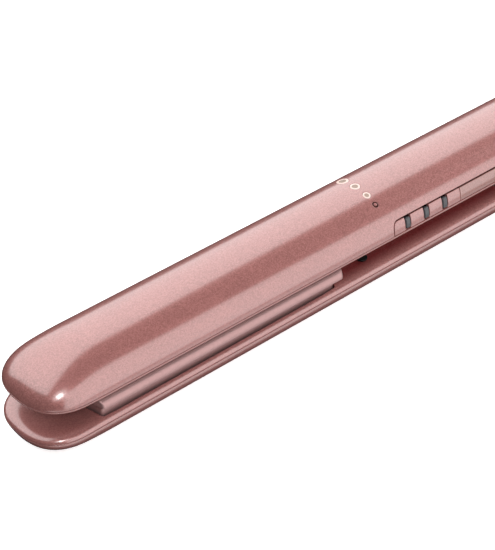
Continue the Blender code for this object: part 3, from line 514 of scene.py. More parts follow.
class Shader:
    """A Principled material with small helpers for its nodes."""

    def __init__(self, name, **values):
        self.material = bpy.data.materials.new(name)
        self.material.use_nodes = True
        self.tree = self.material.node_tree
        self.main = self.tree.nodes["Principled BSDF"]
        for key, value in values.items():
            self.main.inputs[socket_name(key)].default_value = value
        MATERIALS[name] = self.material

    def node(self, kind, **values):
        node = self.tree.nodes.new(kind)
        for key, value in values.items():
            if hasattr(node, key):
                setattr(node, key, value)
            else:
                node.inputs[socket_name(key)].default_value = value
        return node

    def link(self, output, target):
        self.tree.links.new(output, target)

    def place(self):
        return self.node("ShaderNodeTexCoord").outputs["Object"]

    def noise(self, scale):
        noise = self.node("ShaderNodeTexNoise", scale=scale, detail=3.0, roughness=0.5)
        self.link(self.place(), noise.inputs["Vector"])
        return noise.outputs["Fac"]

    def cells(self, scale):
        cells = self.node("ShaderNodeTexVoronoi", scale=scale)
        self.link(self.place(), cells.inputs["Vector"])
        return cells

    def ranged(self, value, low, high, start=0.0, end=1.0):
        spread = self.node("ShaderNodeMapRange")
        spread.inputs["From Min"].default_value = start
        spread.inputs["From Max"].default_value = end
        spread.inputs["To Min"].default_value = low
        spread.inputs["To Max"].default_value = high
        self.link(value, spread.inputs["Value"])
        return spread.outputs["Result"]

    def clouded(self, scale, low, high):
        """A range that follows the middle part of a noise."""
        return self.ranged(self.noise(scale), low, high, 0.3, 0.7)

    def multiply(self, a, b):
        product = self.node("ShaderNodeMath", operation='MULTIPLY')
        self.link(a, product.inputs[0])
        self.link(b, product.inputs[1])
        return product.outputs[0]

    def tint(self, colour, factor):
        """The colour, made lighter or darker by a factor output, into the base colour."""
        scaled = self.node("ShaderNodeVectorMath", operation='SCALE')
        scaled.inputs[0].default_value = colour
        self.link(factor, scaled.inputs["Scale"])
        self.link(scaled.outputs["Vector"], self.main.inputs["Base Color"])
        self.colour = scaled.inputs[0]

    def roughness(self, value):
        self.link(value, self.main.inputs["Roughness"])

    def bump(self, height, distance):
        bump = self.node("ShaderNodeBump", distance=distance, strength=1.0)
        self.link(height, bump.inputs["Height"])
        self.link(bump.outputs["Normal"], self.main.inputs["Normal"])


MATERIALS = {}
FLAKE_SCALE, FLAKE_TILT = 1 / (0.34 * MM), 0.16
# The second paint is painted shade: a darker, redder paint for the inner faces where the arms shade each other.
PAINT, CAVITY_SHADE_PAINT = (0.37, 0.148, 0.135), (0.26, 0.036, 0.036)
TRIM_PAINT = (0.315, 0.135, 0.114)
CAVITY_SHADE_SIDES = (14.5 * MM, 11.0 * MM)  # where the painted shade starts and is full, from the middle
CAVITY_SHADE_STATIONS = (22 * MM, 50 * MM)  # and from the tips


def flake_paint(name, colour, metallic, sparkle):
    """Metallic flakes, each tilted its own way, under a clear coat."""
    shader = Shader(name, metallic=metallic, roughness=0.45, specular_ior_level=0.15,
                    coat_weight=1.0, coat_roughness=0.19, coat_ior=2.05)
    flakes = shader.cells(FLAKE_SCALE)
    parts = shader.node("ShaderNodeSeparateColor")
    shader.link(flakes.outputs["Color"], parts.inputs["Color"])
    glint = shader.ranged(parts.outputs["Red"], 1 - sparkle, 1 + sparkle)
    cloud = shader.clouded(90, 0.97, 1.03)
    shader.tint(colour, shader.multiply(glint, cloud))
    centred = shader.node("ShaderNodeVectorMath", operation='SUBTRACT')
    shader.link(flakes.outputs["Color"], centred.inputs[0])
    centred.inputs[1].default_value = (0.5, 0.5, 0.5)
    tilted = shader.node("ShaderNodeVectorMath", operation='SCALE')
    tilted.inputs["Scale"].default_value = FLAKE_TILT
    shader.link(centred.outputs["Vector"], tilted.inputs[0])
    summed = shader.node("ShaderNodeVectorMath", operation='ADD')
    shader.link(shader.node("ShaderNodeNewGeometry").outputs["Normal"], summed.inputs[0])
    shader.link(tilted.outputs["Vector"], summed.inputs[1])
    unit = shader.node("ShaderNodeVectorMath", operation='NORMALIZE')
    shader.link(summed.outputs["Vector"], unit.inputs[0])
    shader.link(unit.outputs["Vector"], shader.main.inputs["Normal"])
    return shader


def plain(name, colour, grain, spread=0.06, rough_spread=0.05, bump=0.0, **values):
    """A moulded or machined surface with slight clouding, uneven gloss and grain."""
    shader = Shader(name, **values)
    shader.tint(colour, shader.clouded(grain, 1 - spread, 1 + spread))
    middle = shader.main.inputs["Roughness"].default_value
    shader.roughness(shader.clouded(grain * 0.4, middle - rough_spread, middle + rough_spread))
    if bump:
        shader.bump(shader.noise(grain * 4), bump)
    return shader


def paint_cavity_shade(shader):
    """Painted shade: a darker, redder paint on the flat of an inner face, behind the tips, where the arms shade
    each other.
    """
    parts = shader.node("ShaderNodeSeparateXYZ")
    shader.link(shader.place(), parts.inputs["Vector"])
    across = shader.node("ShaderNodeMath", operation='ABSOLUTE')
    shader.link(parts.outputs["Y"], across.inputs[0])
    inside = shader.ranged(across.outputs[0], 1, 0, CAVITY_SHADE_SIDES[1], CAVITY_SHADE_SIDES[0])
    start, full = CAVITY_SHADE_STATIONS
    behind = shader.ranged(parts.outputs["X"], 0, 1, TIP_X + start, TIP_X + full)
    mixed = shader.node("ShaderNodeMix", data_type='RGBA')
    shader.link(shader.multiply(inside, behind), mixed.inputs["Factor"])
    mixed.inputs["A"].default_value = (*PAINT, 1)
    mixed.inputs["B"].default_value = (*CAVITY_SHADE_PAINT, 1)
    shader.link(mixed.outputs["Result"], shader.colour)


def make_materials():
    flake_paint("rose_gold_paint", PAINT, metallic=0.4, sparkle=0.16)
    # The inner faces' paint carries painted shade on its flat between the arms.
    paint_cavity_shade(flake_paint("inner_paint_with_shade", PAINT, metallic=0.35, sparkle=0.14))
    flake_paint("side_trim", TRIM_PAINT, metallic=0.35, sparkle=0.14)
    plates = plain("plate_coating", (0.43, 0.255, 0.248), grain=900, spread=0.05,
                   rough_spread=0.03, metallic=0.65, roughness=0.36)
    plates.bump(plates.noise(2600), 0.004 * MM)
    plain("button_grey", (0.05, 0.048, 0.053), grain=600, roughness=0.34, coat_weight=0.4,
          coat_roughness=0.15)
    lit = plain("light_lens", (0.6, 0.46, 0.42), grain=800, spread=0.03, roughness=0.3)
    lit.main.inputs["Emission Color"].default_value = (1.0, 0.78, 0.70, 1)
    lit.main.inputs["Emission Strength"].default_value = 0.3
    plain("unlit_lens", (0.045, 0.012, 0.01), grain=800, roughness=0.5, specular_ior_level=0.1)
    plain("ring_centre", (0.34, 0.24, 0.19), grain=800, roughness=0.4)
    plain("black_rubber", (0.004, 0.0035, 0.0035), grain=700, spread=0.3, roughness=0.6,
          specular_ior_level=0.2, bump=0.02 * MM)
    plain("black_plastic", (0.014, 0.014, 0.015), grain=900, spread=0.2, roughness=0.42,
          bump=0.015 * MM)
    plain("screw_steel", (0.5, 0.5, 0.51), grain=1500, roughness=0.3, rough_spread=0.1,
          metallic=1.0)
    plain("sensor_brass", (0.7, 0.5, 0.2), grain=1500, roughness=0.35, rough_spread=0.1,
          metallic=1.0)
    plain("heater_ceramic", (0.78, 0.76, 0.7), grain=700, roughness=0.65, bump=0.01 * MM)
    plain("silicone", (0.42, 0.4, 0.38), grain=500, roughness=0.7)
    plain("circuit_board", (0.02, 0.19, 0.08), grain=300, spread=0.15, roughness=0.35,
          coat_weight=0.5)
    plain("lead_insulation", (0.42, 0.03, 0.02), grain=500, roughness=0.5)
    plain("led_body", (0.85, 0.84, 0.78), grain=500, roughness=0.35)


# Covers

def crowded(start, *spans):
    """Grid lines from a start through spans of (end, step)."""
    lines = [start]
    for end, step in spans:
        count = max(1, round((end - start) / step))
        lines += [start + (end - start) * (k + 1) / count for k in range(count)]
        start = end
    return np.array(lines)


def flank_turns(start=0.56, end=1.0, step=0.25):
    """Grid lines round the near flank; start and end are parts of a half turn."""
    return crowded(HALF_TURN * start, (HALF_TURN * end, step))


def add_upper_cover():
    # The grid is fine across the ring lights, the panel's front corner and the trim's rear one.
    ring_start, ring_end = arc_at(RING_STATION - 3.3), arc_at(RING_STATION + 3.3)
    panel_end = arc_at(PANEL[0] + 3.2)
    trim_start, trim_end = arc_at(TRIM[1] - 3.0), arc_at(TRIM[1] + 1.5)
    lines = crowded(0, (TIP_ARC, 1.0), (ring_start, 2.0), (ring_end, 0.28), (panel_end, 0.36),
                    (trim_start, 2.0), (trim_end, 0.36), (REAR_START, 1.0), (WHOLE_ARC, 0.7))
    turns = crowded(0, (0.75 * ROUND, 0.9), (HALF_TURN, 0.33))

    def keep(spot):
        notch = region_distance(spot, (PANEL[0], TRIM[1]), PANEL_TOP, PANEL_CORNER, TRIM_CORNER,
                                SIDE_GAP)
        found = np.minimum(rim_distance(spot), near_side(notch, spot[..., 1]))
        for side, radius in RINGS:
            hole = circle_distance(spot, RING_STATION, side, radius + RING_GAP)
            found = np.minimum(found, hole)
        return found

    bm = skin(arm_surface(), lines, turns, keep, UPPER_WALL, CUT_ROLL)
    add_piece("upper_cover_skin", bm, UPPER, "upper_arm", "rose_gold_paint", ["upper_cover"])


def add_lower_cover():
    lines = crowded(0, (TIP_ARC, 1.0), (REAR_START, 3.0), (WHOLE_ARC, 0.5))
    turns = crowded(0, (HALF_TURN, 0.42))

    def keep(spot):
        outlet = np.hypot(spot[..., 1], spot[..., 2] - GLAND_HEIGHT) - COLLAR_RADIUS - GAP
        outlet = np.where(spot[..., 0] > ARM_LENGTH - REAR_LENGTH, outlet, FAR)
        return np.minimum(rim_distance(spot), outlet)

    surface = arm_surface(0.0, REST_FLAT, LOWER_SECTION_POWER)
    bm = skin(surface, lines, turns, keep, LOWER_WALL, CUT_ROLL)
    add_piece("lower_cover_skin", bm, LOWER, "lower_arm", "rose_gold_paint", ["lower_cover"])


def add_panel():
    def keep(spot):
        panel = region_distance(spot, PANEL, PANEL_TOP, PANEL_CORNER, PANEL_REAR_CORNER)
        found = np.minimum(rim_distance(spot), -panel)
        for index in range(len(BUTTONS)):
            slot = button_distance(spot, index, BUTTON_GAP, BUTTON_HOLE_TOP)
            found = np.minimum(found, slot)
        return found

    lines = crowded(arc_at(PANEL[0] - SIDE_MARGIN), (arc_at(PANEL[1] + SIDE_MARGIN), 0.26))
    bm = skin(arm_surface(SIDE_RECESS), lines, flank_turns(), keep, SIDE_WALL, SIDE_ROLL)
    add_piece("button_panel_skin", bm, UPPER, "upper_arm", "rose_gold_paint", ["button_panel"])


def add_trim():
    def keep(spot):
        trim = region_distance(spot, TRIM, TRIM_TOP, TRIM_FRONT_CORNER, TRIM_CORNER)
        return np.minimum(rim_distance(spot), -trim)

    start, end = TRIM[0] - SIDE_MARGIN, TRIM[1] + SIDE_MARGIN
    lines = crowded(arc_at(start), (arc_at(start + 4), 0.3), (arc_at(end - 4), 0.3 * 3),
                    (arc_at(end), 0.3))
    bm = skin(arm_surface(SIDE_RECESS), lines, flank_turns(), keep, SIDE_WALL, SIDE_ROLL)
    add_piece("side_trim_skin", bm, UPPER, "upper_arm", "side_trim", ["side_trim_rear"])


def add_buttons():
    for index, label in enumerate(BUTTONS):
        def keep(spot):
            return -button_distance(spot, index)

        middle = BUTTON_FIRST + index * BUTTON_PITCH
        lines = crowded(arc_at(middle - 2), (arc_at(middle + 2), 0.16))
        turns = flank_turns(0.6, 0.97, 0.16)
        bm = skin(arm_surface(-BUTTON_PROUD), lines, turns, keep, BUTTON_WALL, BUTTON_ROLL, 7)
        add_piece(f"button_{label}_cap", bm, UPPER, f"{label}_button", "button_grey",
                  [f"button_{label}"])


def add_ring_lights():
    lines = crowded(arc_at(RING_STATION - 2.6), (arc_at(RING_STATION + 2.6), 0.12))
    turns = flank_turns(0.26, 0.74, 0.12)
    for index, (side, radius) in enumerate(RINGS, 1):
        inner = radius * RING_HOLE

        def keep_ring(spot):
            return np.minimum(-circle_distance(spot, RING_STATION, side, radius),
                              circle_distance(spot, RING_STATION, side, inner))

        def keep_centre(spot):
            return -circle_distance(spot, RING_STATION, side, inner - CENTRE_GAP)

        lit = index > 1
        bm = skin(arm_surface(-RING_PROUD), lines, turns, keep_ring, RING_WALL, RING_ROLL, 2)
        add_piece(f"ring_light_{index}", bm, UPPER, "upper_arm", "light_lens",
                  [f"ring_lens_{index}"], "light_lens" if lit else "unlit_lens")
        bm = skin(arm_surface(-CENTRE_PROUD), lines, turns, keep_centre, RING_WALL, RING_ROLL, 2)
        add_piece(f"ring_centre_{index}", bm, UPPER, "upper_arm", "light_lens", (),
                  "ring_centre" if lit else "rose_gold_paint")


# Inner shells

ROLL_RADIUS, ROLL_TURN = 2.1, math.radians(81)
ROLL_RUN = 6.4  # the length across the rolled edge
SIDE_TIGHTNESS = 0.5  # of the roll along the sides; at the tip it is gentle
TIGHTNESS_RUN = 12.0  # the length over which it changes
SIDE_RUN_TIP, SIDE_RUN_REAR = 26.0, 17.0
SIDE_STRAIGHT = ARM_LENGTH - TIP_LENGTH - REAR_LENGTH
SIDE_RUN = SIDE_RUN_TIP + SIDE_STRAIGHT + SIDE_RUN_REAR
FACE_RUN = HALF_WIDTH - EDGE_ROLL_WIDTH
SPINE = (24.0, 266.0)  # the grid closes up on this line, inside the holes at both ends


def roll_profile(across, tightness):
    """The rolled edge's inset and rise, between a gentle form and a tight one.

    Tight is a quarter turn that stops short, then a slow slope. Gentle is a quarter ellipse.
    """
    turn = np.minimum(across / ROLL_RADIUS, ROLL_TURN)
    start_inset = ROLL_RADIUS * (1 - math.cos(ROLL_TURN))
    start_rise = ROLL_RADIUS * math.sin(ROLL_TURN)
    turned = ROLL_RADIUS * ROLL_TURN
    slow = np.clip((across - turned) / (ROLL_RUN - turned), 0, 1)
    inset = ROLL_RADIUS * (1 - np.cos(turn)) + (EDGE_ROLL_WIDTH - start_inset) * slow
    rise = ROLL_RADIUS * np.sin(turn) + (EDGE_ROLL_DEPTH - start_rise) * slow * (2 - slow)
    sweep = np.clip(across / ROLL_RUN, 0, 1) * math.pi / 2
    gentle_inset = EDGE_ROLL_WIDTH * (1 - np.cos(sweep))
    gentle_rise = EDGE_ROLL_DEPTH * np.sin(sweep)
    mixed_inset = gentle_inset + (inset - gentle_inset) * tightness
    mixed_rise = gentle_rise + (rise - gentle_rise) * tightness
    return mixed_inset, mixed_rise


def shell_surface(along, across):
    """The inner face and its rolled edge.

    along goes round the outline, and across from the seam inwards.
    """
    far = along > SIDE_RUN
    run = np.where(far, 2 * SIDE_RUN - along, along)
    part = np.clip((run - SIDE_RUN_TIP * 0.7) / TIGHTNESS_RUN, 0, 1)
    inset, rise = roll_profile(across, SIDE_TIGHTNESS * part)
    height = SEAM - rise
    tip_turn = np.clip(run / SIDE_RUN_TIP, 0, 1) * math.pi / 2
    rear_turn = np.clip((SIDE_RUN - run) / SIDE_RUN_REAR, 0, 1) * math.pi / 2
    station = TIP_LENGTH - (TIP_LENGTH - inset) * np.abs(np.cos(tip_turn)) ** (2 / TIP_POWER)
    station = station + np.clip(run - SIDE_RUN_TIP, 0, SIDE_STRAIGHT)
    station = station + (REAR_LENGTH - inset) * np.abs(np.cos(rear_turn)) ** (2 / REAR_POWER)
    side = (HALF_WIDTH - inset) * np.sin(tip_turn) ** (2 / TIP_POWER)
    side = side * np.sin(rear_turn) ** (2 / REAR_POWER)
    inwards = np.maximum(0, across - ROLL_RUN) / FACE_RUN
    station = station + (np.clip(station, *SPINE) - station) * inwards
    side = side * (1 - inwards)
    side = np.where(far, side, -side)
    return np.stack([station, side, height + tip_lift(station)], -1)


def well_distance(sign, spot):
    station, side = spot[..., 0], spot[..., 1]
    bow = PLATE_SAG * (1 - (side / PLATE_HALF_WIDTH) ** 2) + WELL_END_GAP - PLATE_INSET[sign]
    past_end = np.maximum(PLATE_START - bow - station, station - PLATE_END - bow) + WELL_CORNER
    past_side = np.abs(side) - WELL_HALF_WIDTH[sign] + WELL_CORNER
    outside = np.hypot(np.maximum(past_end, 0), np.maximum(past_side, 0))
    return outside + np.minimum(np.maximum(past_end, past_side), 0) - WELL_CORNER


def knuckle_shape(sides):
    """The barrels that carry the pin, on webs from the inner face."""
    outline = [(HINGE_STATION + KNUCKLE_RADIUS, KNUCKLE_TOP),
               (HINGE_STATION - KNUCKLE_RADIUS, KNUCKLE_TOP)]
    for k in range(24, -1, -1):
        angle = math.pi * k / 24
        outline.append((HINGE_STATION + KNUCKLE_RADIUS * math.cos(angle),
                        -KNUCKLE_RADIUS * math.sin(angle)))
    bore = circle(PIN_RADIUS + GAP, 32, (HINGE_STATION, 0))
    barrels = []
    for way in (-1, 1):
        low, high = sorted((way * sides[0], way * sides[1]))
        barrels.append(slab(outline, [bore], low, high, lambda u, v, w: (u, w, v), roll=0.25))
    return barrels


def side_run(station):
    """How far round the outline a station on the straight sides is."""
    return station - TIP_LENGTH + SIDE_RUN_TIP


def add_inner_shell(prefix, sign, slots, knuckles):
    def keep(spot):
        found = well_distance(sign, spot)
        for station, side in SCREWS:
            found = np.minimum(found, circle_distance(spot, station, side, SCREW_RECESS_RADIUS))
        stations = (HINGE_STATION - SLOT_REACH, HINGE_STATION + SLOT_REACH)
        for slot in slots:
            found = np.minimum(found, block_distance(spot[..., 0], spot[..., 1], stations, slot,
                                                     SLOT_CORNER, SLOT_CORNER))
        return found

    # Stations and steps: fine at the well's ends, across the screws and round the hinge.
    stops = ((24, 0.45), (126, 6.0), (132, 0.45), (139.5, 1.5), (145.5, 0.4), (208.5, 6.0),
             (215.5, 0.4), (260.5, 5.0), (HINGE_STATION + 7.5, 0.45))
    spans = [(side_run(station), step) for station, step in stops]
    half = crowded(0, (SIDE_RUN_TIP, 0.8), *spans, (SIDE_RUN, 0.9))
    around = np.concatenate([half, 2 * SIDE_RUN - half[-2::-1]])
    across = crowded(CUT_ROLL, (ROLL_RUN, 0.3), (ROLL_RUN + FACE_RUN, 0.42))
    face = skin(shell_surface, around, across, keep, SHELL_WALL, CUT_ROLL)
    bm = join(face, *knuckle_shape(knuckles))
    # The inner face takes the paint with the painted shade between the arms.
    add_piece(f"{prefix}_inner_skin", bm, sign, f"{prefix}_arm", "rose_gold_paint",
              [f"{prefix}_inner_shell"], "inner_paint_with_shade")


def add_inner_shells():
    """Each inner face has slots for the other arm's knuckles."""
    inner = UPPER_KNUCKLE[1] + SLOT_SIDE
    outer = (LOWER_KNUCKLE[0] - SLOT_SIDE, LOWER_KNUCKLE[1] + SLOT_SIDE)
    middle = UPPER_KNUCKLE[0] - SLOT_SIDE
    add_inner_shell("lower", LOWER, ((-inner, inner),), LOWER_KNUCKLE)
    add_inner_shell("upper", UPPER, ((-middle, middle), outer, (-outer[1], -outer[0])),
                    UPPER_KNUCKLE)


# Heating plates

def plate_half_profile(inset):
    """Half a plate's section, from the contact face's edge round its flank to the back."""
    corner = PLATE_FACE_CORNER
    centre, radius = PLATE_HALF_WIDTH - PLATE_ROUND, PLATE_ROUND - inset
    points = []
    for step in range(5):
        angle = -math.pi / 2 + math.pi / 2 * step / 4
        points.append((centre + radius - corner + corner * math.cos(angle),
                       PLATE_FACE + corner + corner * math.sin(angle)))
    for step in range(3, 21):
        angle = math.pi / 2 * step / 20
        points.append((centre + radius * math.cos(angle),
                       PLATE_FACE + radius * math.sin(angle)))
    return points + [(centre, PLATE_BACK)]


def plate_shape(inset):
    half = plate_half_profile(inset)
    columns, steps = 48, 6
    middle_height = 1.9  # the height that the rounded ends close in on
    bm = bmesh.new()

    def layer(end, step):
        """All the points of a section at one end, drawn in by its rounded edge."""
        angle = math.pi / 2 * step / steps
        shrink = PLATE_END_ROLL * (1 - math.sin(angle))
        shift = PLATE_END_ROLL * (1 - math.cos(angle))
        rows = []
        for side, height in half:
            side = side * (1 - shrink / PLATE_HALF_WIDTH)
            height = middle_height + (height - middle_height) * (1 - shrink / middle_height)
            row = []
            for column in range(columns + 1):
                y = side * (1 - 2 * column / columns)
                bow = PLATE_SAG * (1 - (y / PLATE_HALF_WIDTH) ** 2) - inset
                station = PLATE_START - bow + shift if end == 0 else PLATE_END + bow - shift
                row.append(bm.verts.new((station, y, height)))
            rows.append(row)
        return rows

    def outline(rows):
        ends = [row[-1] for row in rows[1:-1]]
        starts = [row[0] for row in rows[-2:0:-1]]
        return rows[0] + ends + rows[-1][::-1] + starts

    layers = [layer(0, step) for step in range(steps + 1)]
    layers += [layer(1, step) for step in range(steps, -1, -1)]
    for first, second in zip(layers, layers[1:]):
        bridge(bm, outline(first), outline(second))
    for cap in (layers[0], layers[-1]):
        for low, high in zip(cap, cap[1:]):
            for k in range(columns):
                bm.faces.new((low[k], low[k + 1], high[k + 1], high[k]))
    loose = [vert for vert in bm.verts if not vert.link_faces]
    bmesh.ops.delete(bm, geom=loose, context='VERTS')
    return bm


def add_plates():
    for prefix, sign in (("upper", UPPER), ("lower", LOWER)):
        add_piece(f"{prefix}_plate_skin", plate_shape(PLATE_INSET[sign]), sign,
                  f"{prefix}_plate_assembly", "plate_coating", [f"{prefix}_plate"], weighted=True)


# Small parts

def screw_shape(station, side):
    """A cross-slotted head on a pointed shank."""
    cross = []
    for quarter in range(4):
        turn = Matrix.Rotation(quarter * math.pi / 2, 2)
        for corner in ((CROSS_REACH, -CROSS_ARM), (CROSS_REACH, CROSS_ARM), (CROSS_ARM, CROSS_ARM)):
            cross.append(tuple(turn @ Vector(corner)))
    low, high = INNER_FACE + GAP / 2, INNER_FACE + SCREW_SEAT - GAP / 2

    def place(u, v, w):
        return station + u, side + v, w

    head = slab(circle(SCREW_HEAD_RADIUS), [cross], low, low + SCREW_HEAD_DEPTH, place, roll=0.12)
    neck, neck_radius = low + SCREW_HEAD_DEPTH - 0.05, SCREW_HEAD_RADIUS - 0.05
    profile = [(neck, 0), (neck, neck_radius), (high, neck_radius), (high, SHANK_RADIUS),
               (high + SHANK_LENGTH, SHANK_RADIUS), (high + SHANK_POINT, 0)]
    return join(head, lathe(profile, (station, side, 0), (0, 0, 1), 32))


def add_screws(prefix, sign):
    for index, (station, side) in enumerate(SCREWS, 1):
        add_piece(f"{prefix}_screw_{index}_head", screw_shape(station, side), sign,
                  f"{prefix}_arm", "screw_steel", [f"{prefix}_screw_{index}"], weighted=True)


def add_stop_pads():
    for label in ("near", "far"):
        low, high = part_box(f"stop_pad_{label}")
        wide, tall = (high.x - low.x) / 2 / MM, (high.z - low.z) / MM
        profile = fillet([(0, 0), (wide, 0), (wide, tall), (0, tall)], (0, 0.3, 0.05, 0), 5)
        station = ((low.x + high.x) / 2 - TIP_X) / MM
        side = (low.y + high.y) / 2 / MM
        top = (HINGE.z - high.z) / MM
        turned = [(top + height, radius) for radius, height in profile]
        bm = lathe(turned, (station, side, 0), (0, 0, 1))
        add_piece(f"stop_pad_{label}_dome", bm, LOWER, "lower_arm", "black_rubber",
                  [f"stop_pad_{label}"])


def add_hinge_pin():
    half, end = PIN_HALF_LENGTH, PIN_HALF_LENGTH + PIN_HEAD
    points = [(-end, 0), (-end, PIN_HEAD_RADIUS), (-half, PIN_HEAD_RADIUS), (-half, PIN_RADIUS),
              (half, PIN_RADIUS), (half, PIN_HEAD_RADIUS), (end, PIN_HEAD_RADIUS), (end, 0)]
    profile = fillet(points, (0, 0.35, 0.1, 0, 0, 0.1, 0.35, 0), 5)
    pin = lathe(profile, (HINGE_STATION, 0, 0), (0, 1, 0), 48)
    add_piece("hinge_pin_turned", pin, LOWER, "lower_arm", "screw_steel", ["hinge_pin"],
              weighted=True)


def add_hinge_spring():
    """A torsion spring round the pin, with a leg along each arm."""
    per_turn = 28
    count = int(COIL_TURNS * per_turn)
    leg_start = -COIL_RADIUS * 1.5
    points = [(-LEG_REACH, -COIL_HALF_LENGTH, LEG_HEIGHT),
              (leg_start, -COIL_HALF_LENGTH, LEG_HEIGHT)]
    for step in range(count + 1):
        angle = -math.pi / 2 + math.tau * step / per_turn
        points.append((COIL_RADIUS * math.cos(angle), COIL_HALF_LENGTH * (2 * step / count - 1),
                       -COIL_RADIUS * math.sin(angle)))
    points += [(leg_start, COIL_HALF_LENGTH, -LEG_HEIGHT),
               (-LEG_REACH, COIL_HALF_LENGTH, -LEG_HEIGHT)]
    curve = bpy.data.curves.new("spring_wire", 'CURVE')
    curve.dimensions = '3D'
    curve.bevel_depth = WIRE_RADIUS * MM
    curve.bevel_resolution = 3
    curve.use_fill_caps = True
    spline = curve.splines.new('POLY')
    spline.points.add(len(points) - 1)
    for target, (along, side, height) in zip(spline.points, points):
        target.co = (*to_world(LOWER, (HINGE_STATION + along, side, height)), 1)
    wire = bpy.data.objects.new("hinge_spring_wire", curve)
    bpy.context.scene.collection.objects.link(wire)
    curve.materials.append(MATERIALS["screw_steel"])
    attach(wire, "lower_arm")
    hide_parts("hinge_spring")


def add_swivel():
    start, end = COLLAR_START, COLLAR_END
    bore = GLAND_RADIUS + GAP
    collar = fillet([(start, bore), (end, bore), (end, COLLAR_RADIUS), (start, COLLAR_RADIUS)],
                    (0, 0.15, 0.8, 0), 6)
    bm = lathe(collar, (0, 0, GLAND_HEIGHT), (1, 0, 0))
    add_piece("swivel_collar_turned", bm, LOWER, "lower_arm", "black_plastic",
              ["swivel_collar"], weighted=True)
    last = (CAD_BOX[1].x - TIP_X) / MM
    points = [(GLAND_START, GLAND_BORE), (last, GLAND_BORE), (last, GLAND_RADIUS),
              (last - GLAND_TAPER, GLAND_TAIL - 0.15), (end + 1.0, GLAND_TAIL),
              (end + GAP, GLAND_TAIL - 0.6), (end + GAP, GLAND_RADIUS),
              (GLAND_START, GLAND_RADIUS)]
    gland = fillet(points, (0, 0.25, 0.3, 0.8, 0.5, 0.1, 0, 0), 5)
    bm = lathe(gland, (0, 0, GLAND_HEIGHT), (1, 0, 0))
    add_piece("swivel_gland_turned", bm, LOWER, "cord_swivel", "black_plastic",
              ["swivel_gland"], weighted=True)


# Set

CAMERA_SPOT = Vector((-0.4470, -0.4446, 0.5163))
CAMERA_AIM = Vector((-0.0408, 0.0064, 0.0178))
CAMERA_ROLL = math.radians(1.37)
CAMERA_LENS = 148.8
KEY_DIRECTION = (-0.30, -0.62, 0.72)
FLOOR_REACH, FLOOR_BEND, FLOOR_HEIGHT = 4.0, 1.5, 8.0
FLOOR_DROP = 0.05 * MM  # how far the floor is under the lower cover


def add_camera():
    data = bpy.data.cameras.new("camera")
    data.lens = CAMERA_LENS
    data.sensor_width = 36
    camera = bpy.data.objects.new("camera", data)
    bpy.context.scene.collection.objects.link(camera)
    look = (CAMERA_AIM - CAMERA_SPOT).to_track_quat('-Z', 'Y').to_matrix().to_4x4()
    roll = Matrix.Rotation(CAMERA_ROLL, 4, 'Z')
    camera.matrix_world = Matrix.Translation(CAMERA_SPOT) @ look @ roll
    data.clip_start = 0.05
    bpy.context.scene.camera = camera


def add_softbox(name, angle, distance, corners, radiance):
    """A flat box beside the arms, facing them. Its angle is from overhead, positive to the front.

    Its corners are metres along the arms and away from overhead, from where it faces their middle.
    """
    turn = math.radians(angle)
    away = Vector((0, -math.sin(turn), math.cos(turn)))
    across = Vector((0, -math.cos(turn), -math.sin(turn)))
    middle = Vector((0, 0, HINGE.z)) + away * distance
    mesh = bpy.data.meshes.new(name)
    spots = [middle + Vector((along, 0, 0)) + across * aside for along, aside in corners]
    mesh.from_pydata(spots, [], [range(len(spots))])
    box = bpy.data.objects.new(name, mesh)
    box.visible_camera = False
    bpy.context.scene.collection.objects.link(box)
    material = bpy.data.materials.new(name)
    material.use_nodes = True
    material.node_tree.nodes.clear()
    glow = material.node_tree.nodes.new("ShaderNodeEmission")
    glow.inputs["Strength"].default_value = radiance
    output = material.node_tree.nodes.new("ShaderNodeOutputMaterial")
    material.node_tree.links.new(glow.outputs["Emission"], output.inputs["Surface"])
    mesh.materials.append(material)


def add_lamp(name, direction, distance, radius, radiance):
    """A round lamp that faces the tips."""
    data = bpy.data.lights.new(name, 'AREA')
    data.shape = 'DISK'
    data.size = 2 * radius
    data.energy = radiance * math.pi ** 2 * radius ** 2
    light = bpy.data.objects.new(name, data)
    away = Vector(direction).normalized()
    light.location = Vector((TIP_X, 0, HINGE.z)) + away * distance
    light.rotation_euler = (-away).to_track_quat('-Z', 'Y').to_euler()
    light.visible_camera = False
    bpy.context.scene.collection.objects.link(light)


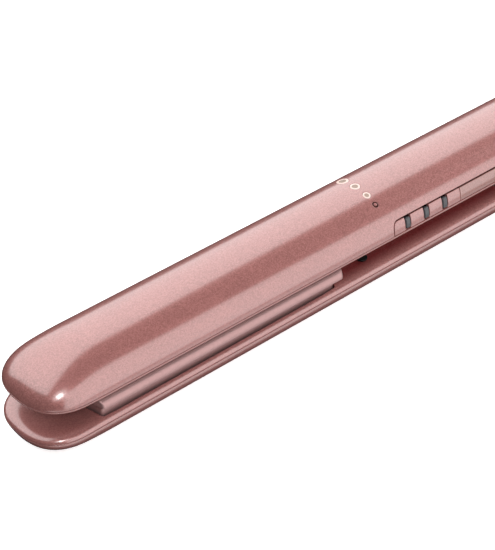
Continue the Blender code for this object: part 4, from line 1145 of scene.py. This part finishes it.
def add_floor():
    """A round floor that bends up into a backdrop and closes overhead, seen only by the camera."""
    mesh = bpy.data.meshes.new("floor")
    flat = FLOOR_REACH - FLOOR_BEND
    profile = [(0, 0), (0, flat)]
    for step in range(1, 13):
        angle = math.pi / 2 * step / 12
        profile.append((FLOOR_BEND * (1 - math.cos(angle)), flat + FLOOR_BEND * math.sin(angle)))
    profile += [(FLOOR_HEIGHT, FLOOR_REACH), (FLOOR_HEIGHT, 0)]
    sweep = lathe(profile, (0, 0, 0), (0, 0, 1), 96)
    empty = [face for face in sweep.faces if face.calc_area() == 0]
    bmesh.ops.delete(sweep, geom=empty, context='FACES')
    sweep.to_mesh(mesh)
    sweep.free()
    mesh.shade_smooth()
    floor = bpy.data.objects.new("floor", mesh)
    floor.location.z = CAD_BOX[0].z - FLOOR_DROP
    floor.visible_glossy = False
    floor.visible_diffuse = False
    floor.visible_shadow = False
    bpy.context.scene.collection.objects.link(floor)
    shader = Shader("floor", roughness=0.9)
    shader.tint((0.88, 0.88, 0.88), shader.ranged(shader.noise(3), 0.99, 1.01))
    shader.main.inputs["Emission Color"].default_value = (1, 1, 1, 1)
    shader.main.inputs["Emission Strength"].default_value = 0.6
    mesh.materials.append(MATERIALS["floor"])


def add_world():
    world = bpy.data.worlds.new("studio")
    world.use_nodes = True
    background = world.node_tree.nodes["Background"]
    background.inputs["Color"].default_value = (1, 1, 1, 1)
    background.inputs["Strength"].default_value = 0.42
    bpy.context.scene.world = world
    world.cycles_visibility.glossy = False
    bpy.context.scene.view_settings.view_transform = 'Standard'


def add_lights():
    add_softbox("back_softbox", -40, 0.8,
                ((-1.18, 1.2), (-0.64, -0.62), (1.6, -0.92), (1.6, 0.4), (0.48, 0.42)), 1.86)
    add_softbox("front_softbox", 80, 0.7,
                ((-0.3, -0.5), (1.2, -0.5), (1.2, 0.5), (-0.3, 0.5)), 1.62)
    add_softbox("under_softbox", 140, 0.3,
                ((-0.4, -0.12), (0.3, -0.12), (0.3, 0.12), (-0.4, 0.12)), 0.9)
    add_lamp("key_lamp", KEY_DIRECTION, 1.1, 0.1, 24)
    add_lamp("glow_lamp", KEY_DIRECTION, 1.15, 0.3, 1.5)
    add_lamp("rear_lamp", (0.95, -0.15, 0.45), 1.7, 0.45, 3.5)


def give_cad_materials():
    """Every CAD node gets the finished material of its record's slot."""
    slots = {part["node"]: part["material_slot"] for part in frame["record"]["subparts"]}
    for name, node in frame["nodes"].items():
        node.data.materials.clear()
        node.data.materials.append(MATERIALS[slots[name]])


make_materials()
give_cad_materials()
add_camera()
add_floor()
add_world()
add_lights()
add_lower_cover()
add_upper_cover()
add_inner_shells()
add_plates()
add_panel()
add_trim()
add_buttons()
add_ring_lights()
add_screws("lower", LOWER)
add_screws("upper", UPPER)
add_stop_pads()
add_hinge_pin()
add_hinge_spring()
add_swivel()
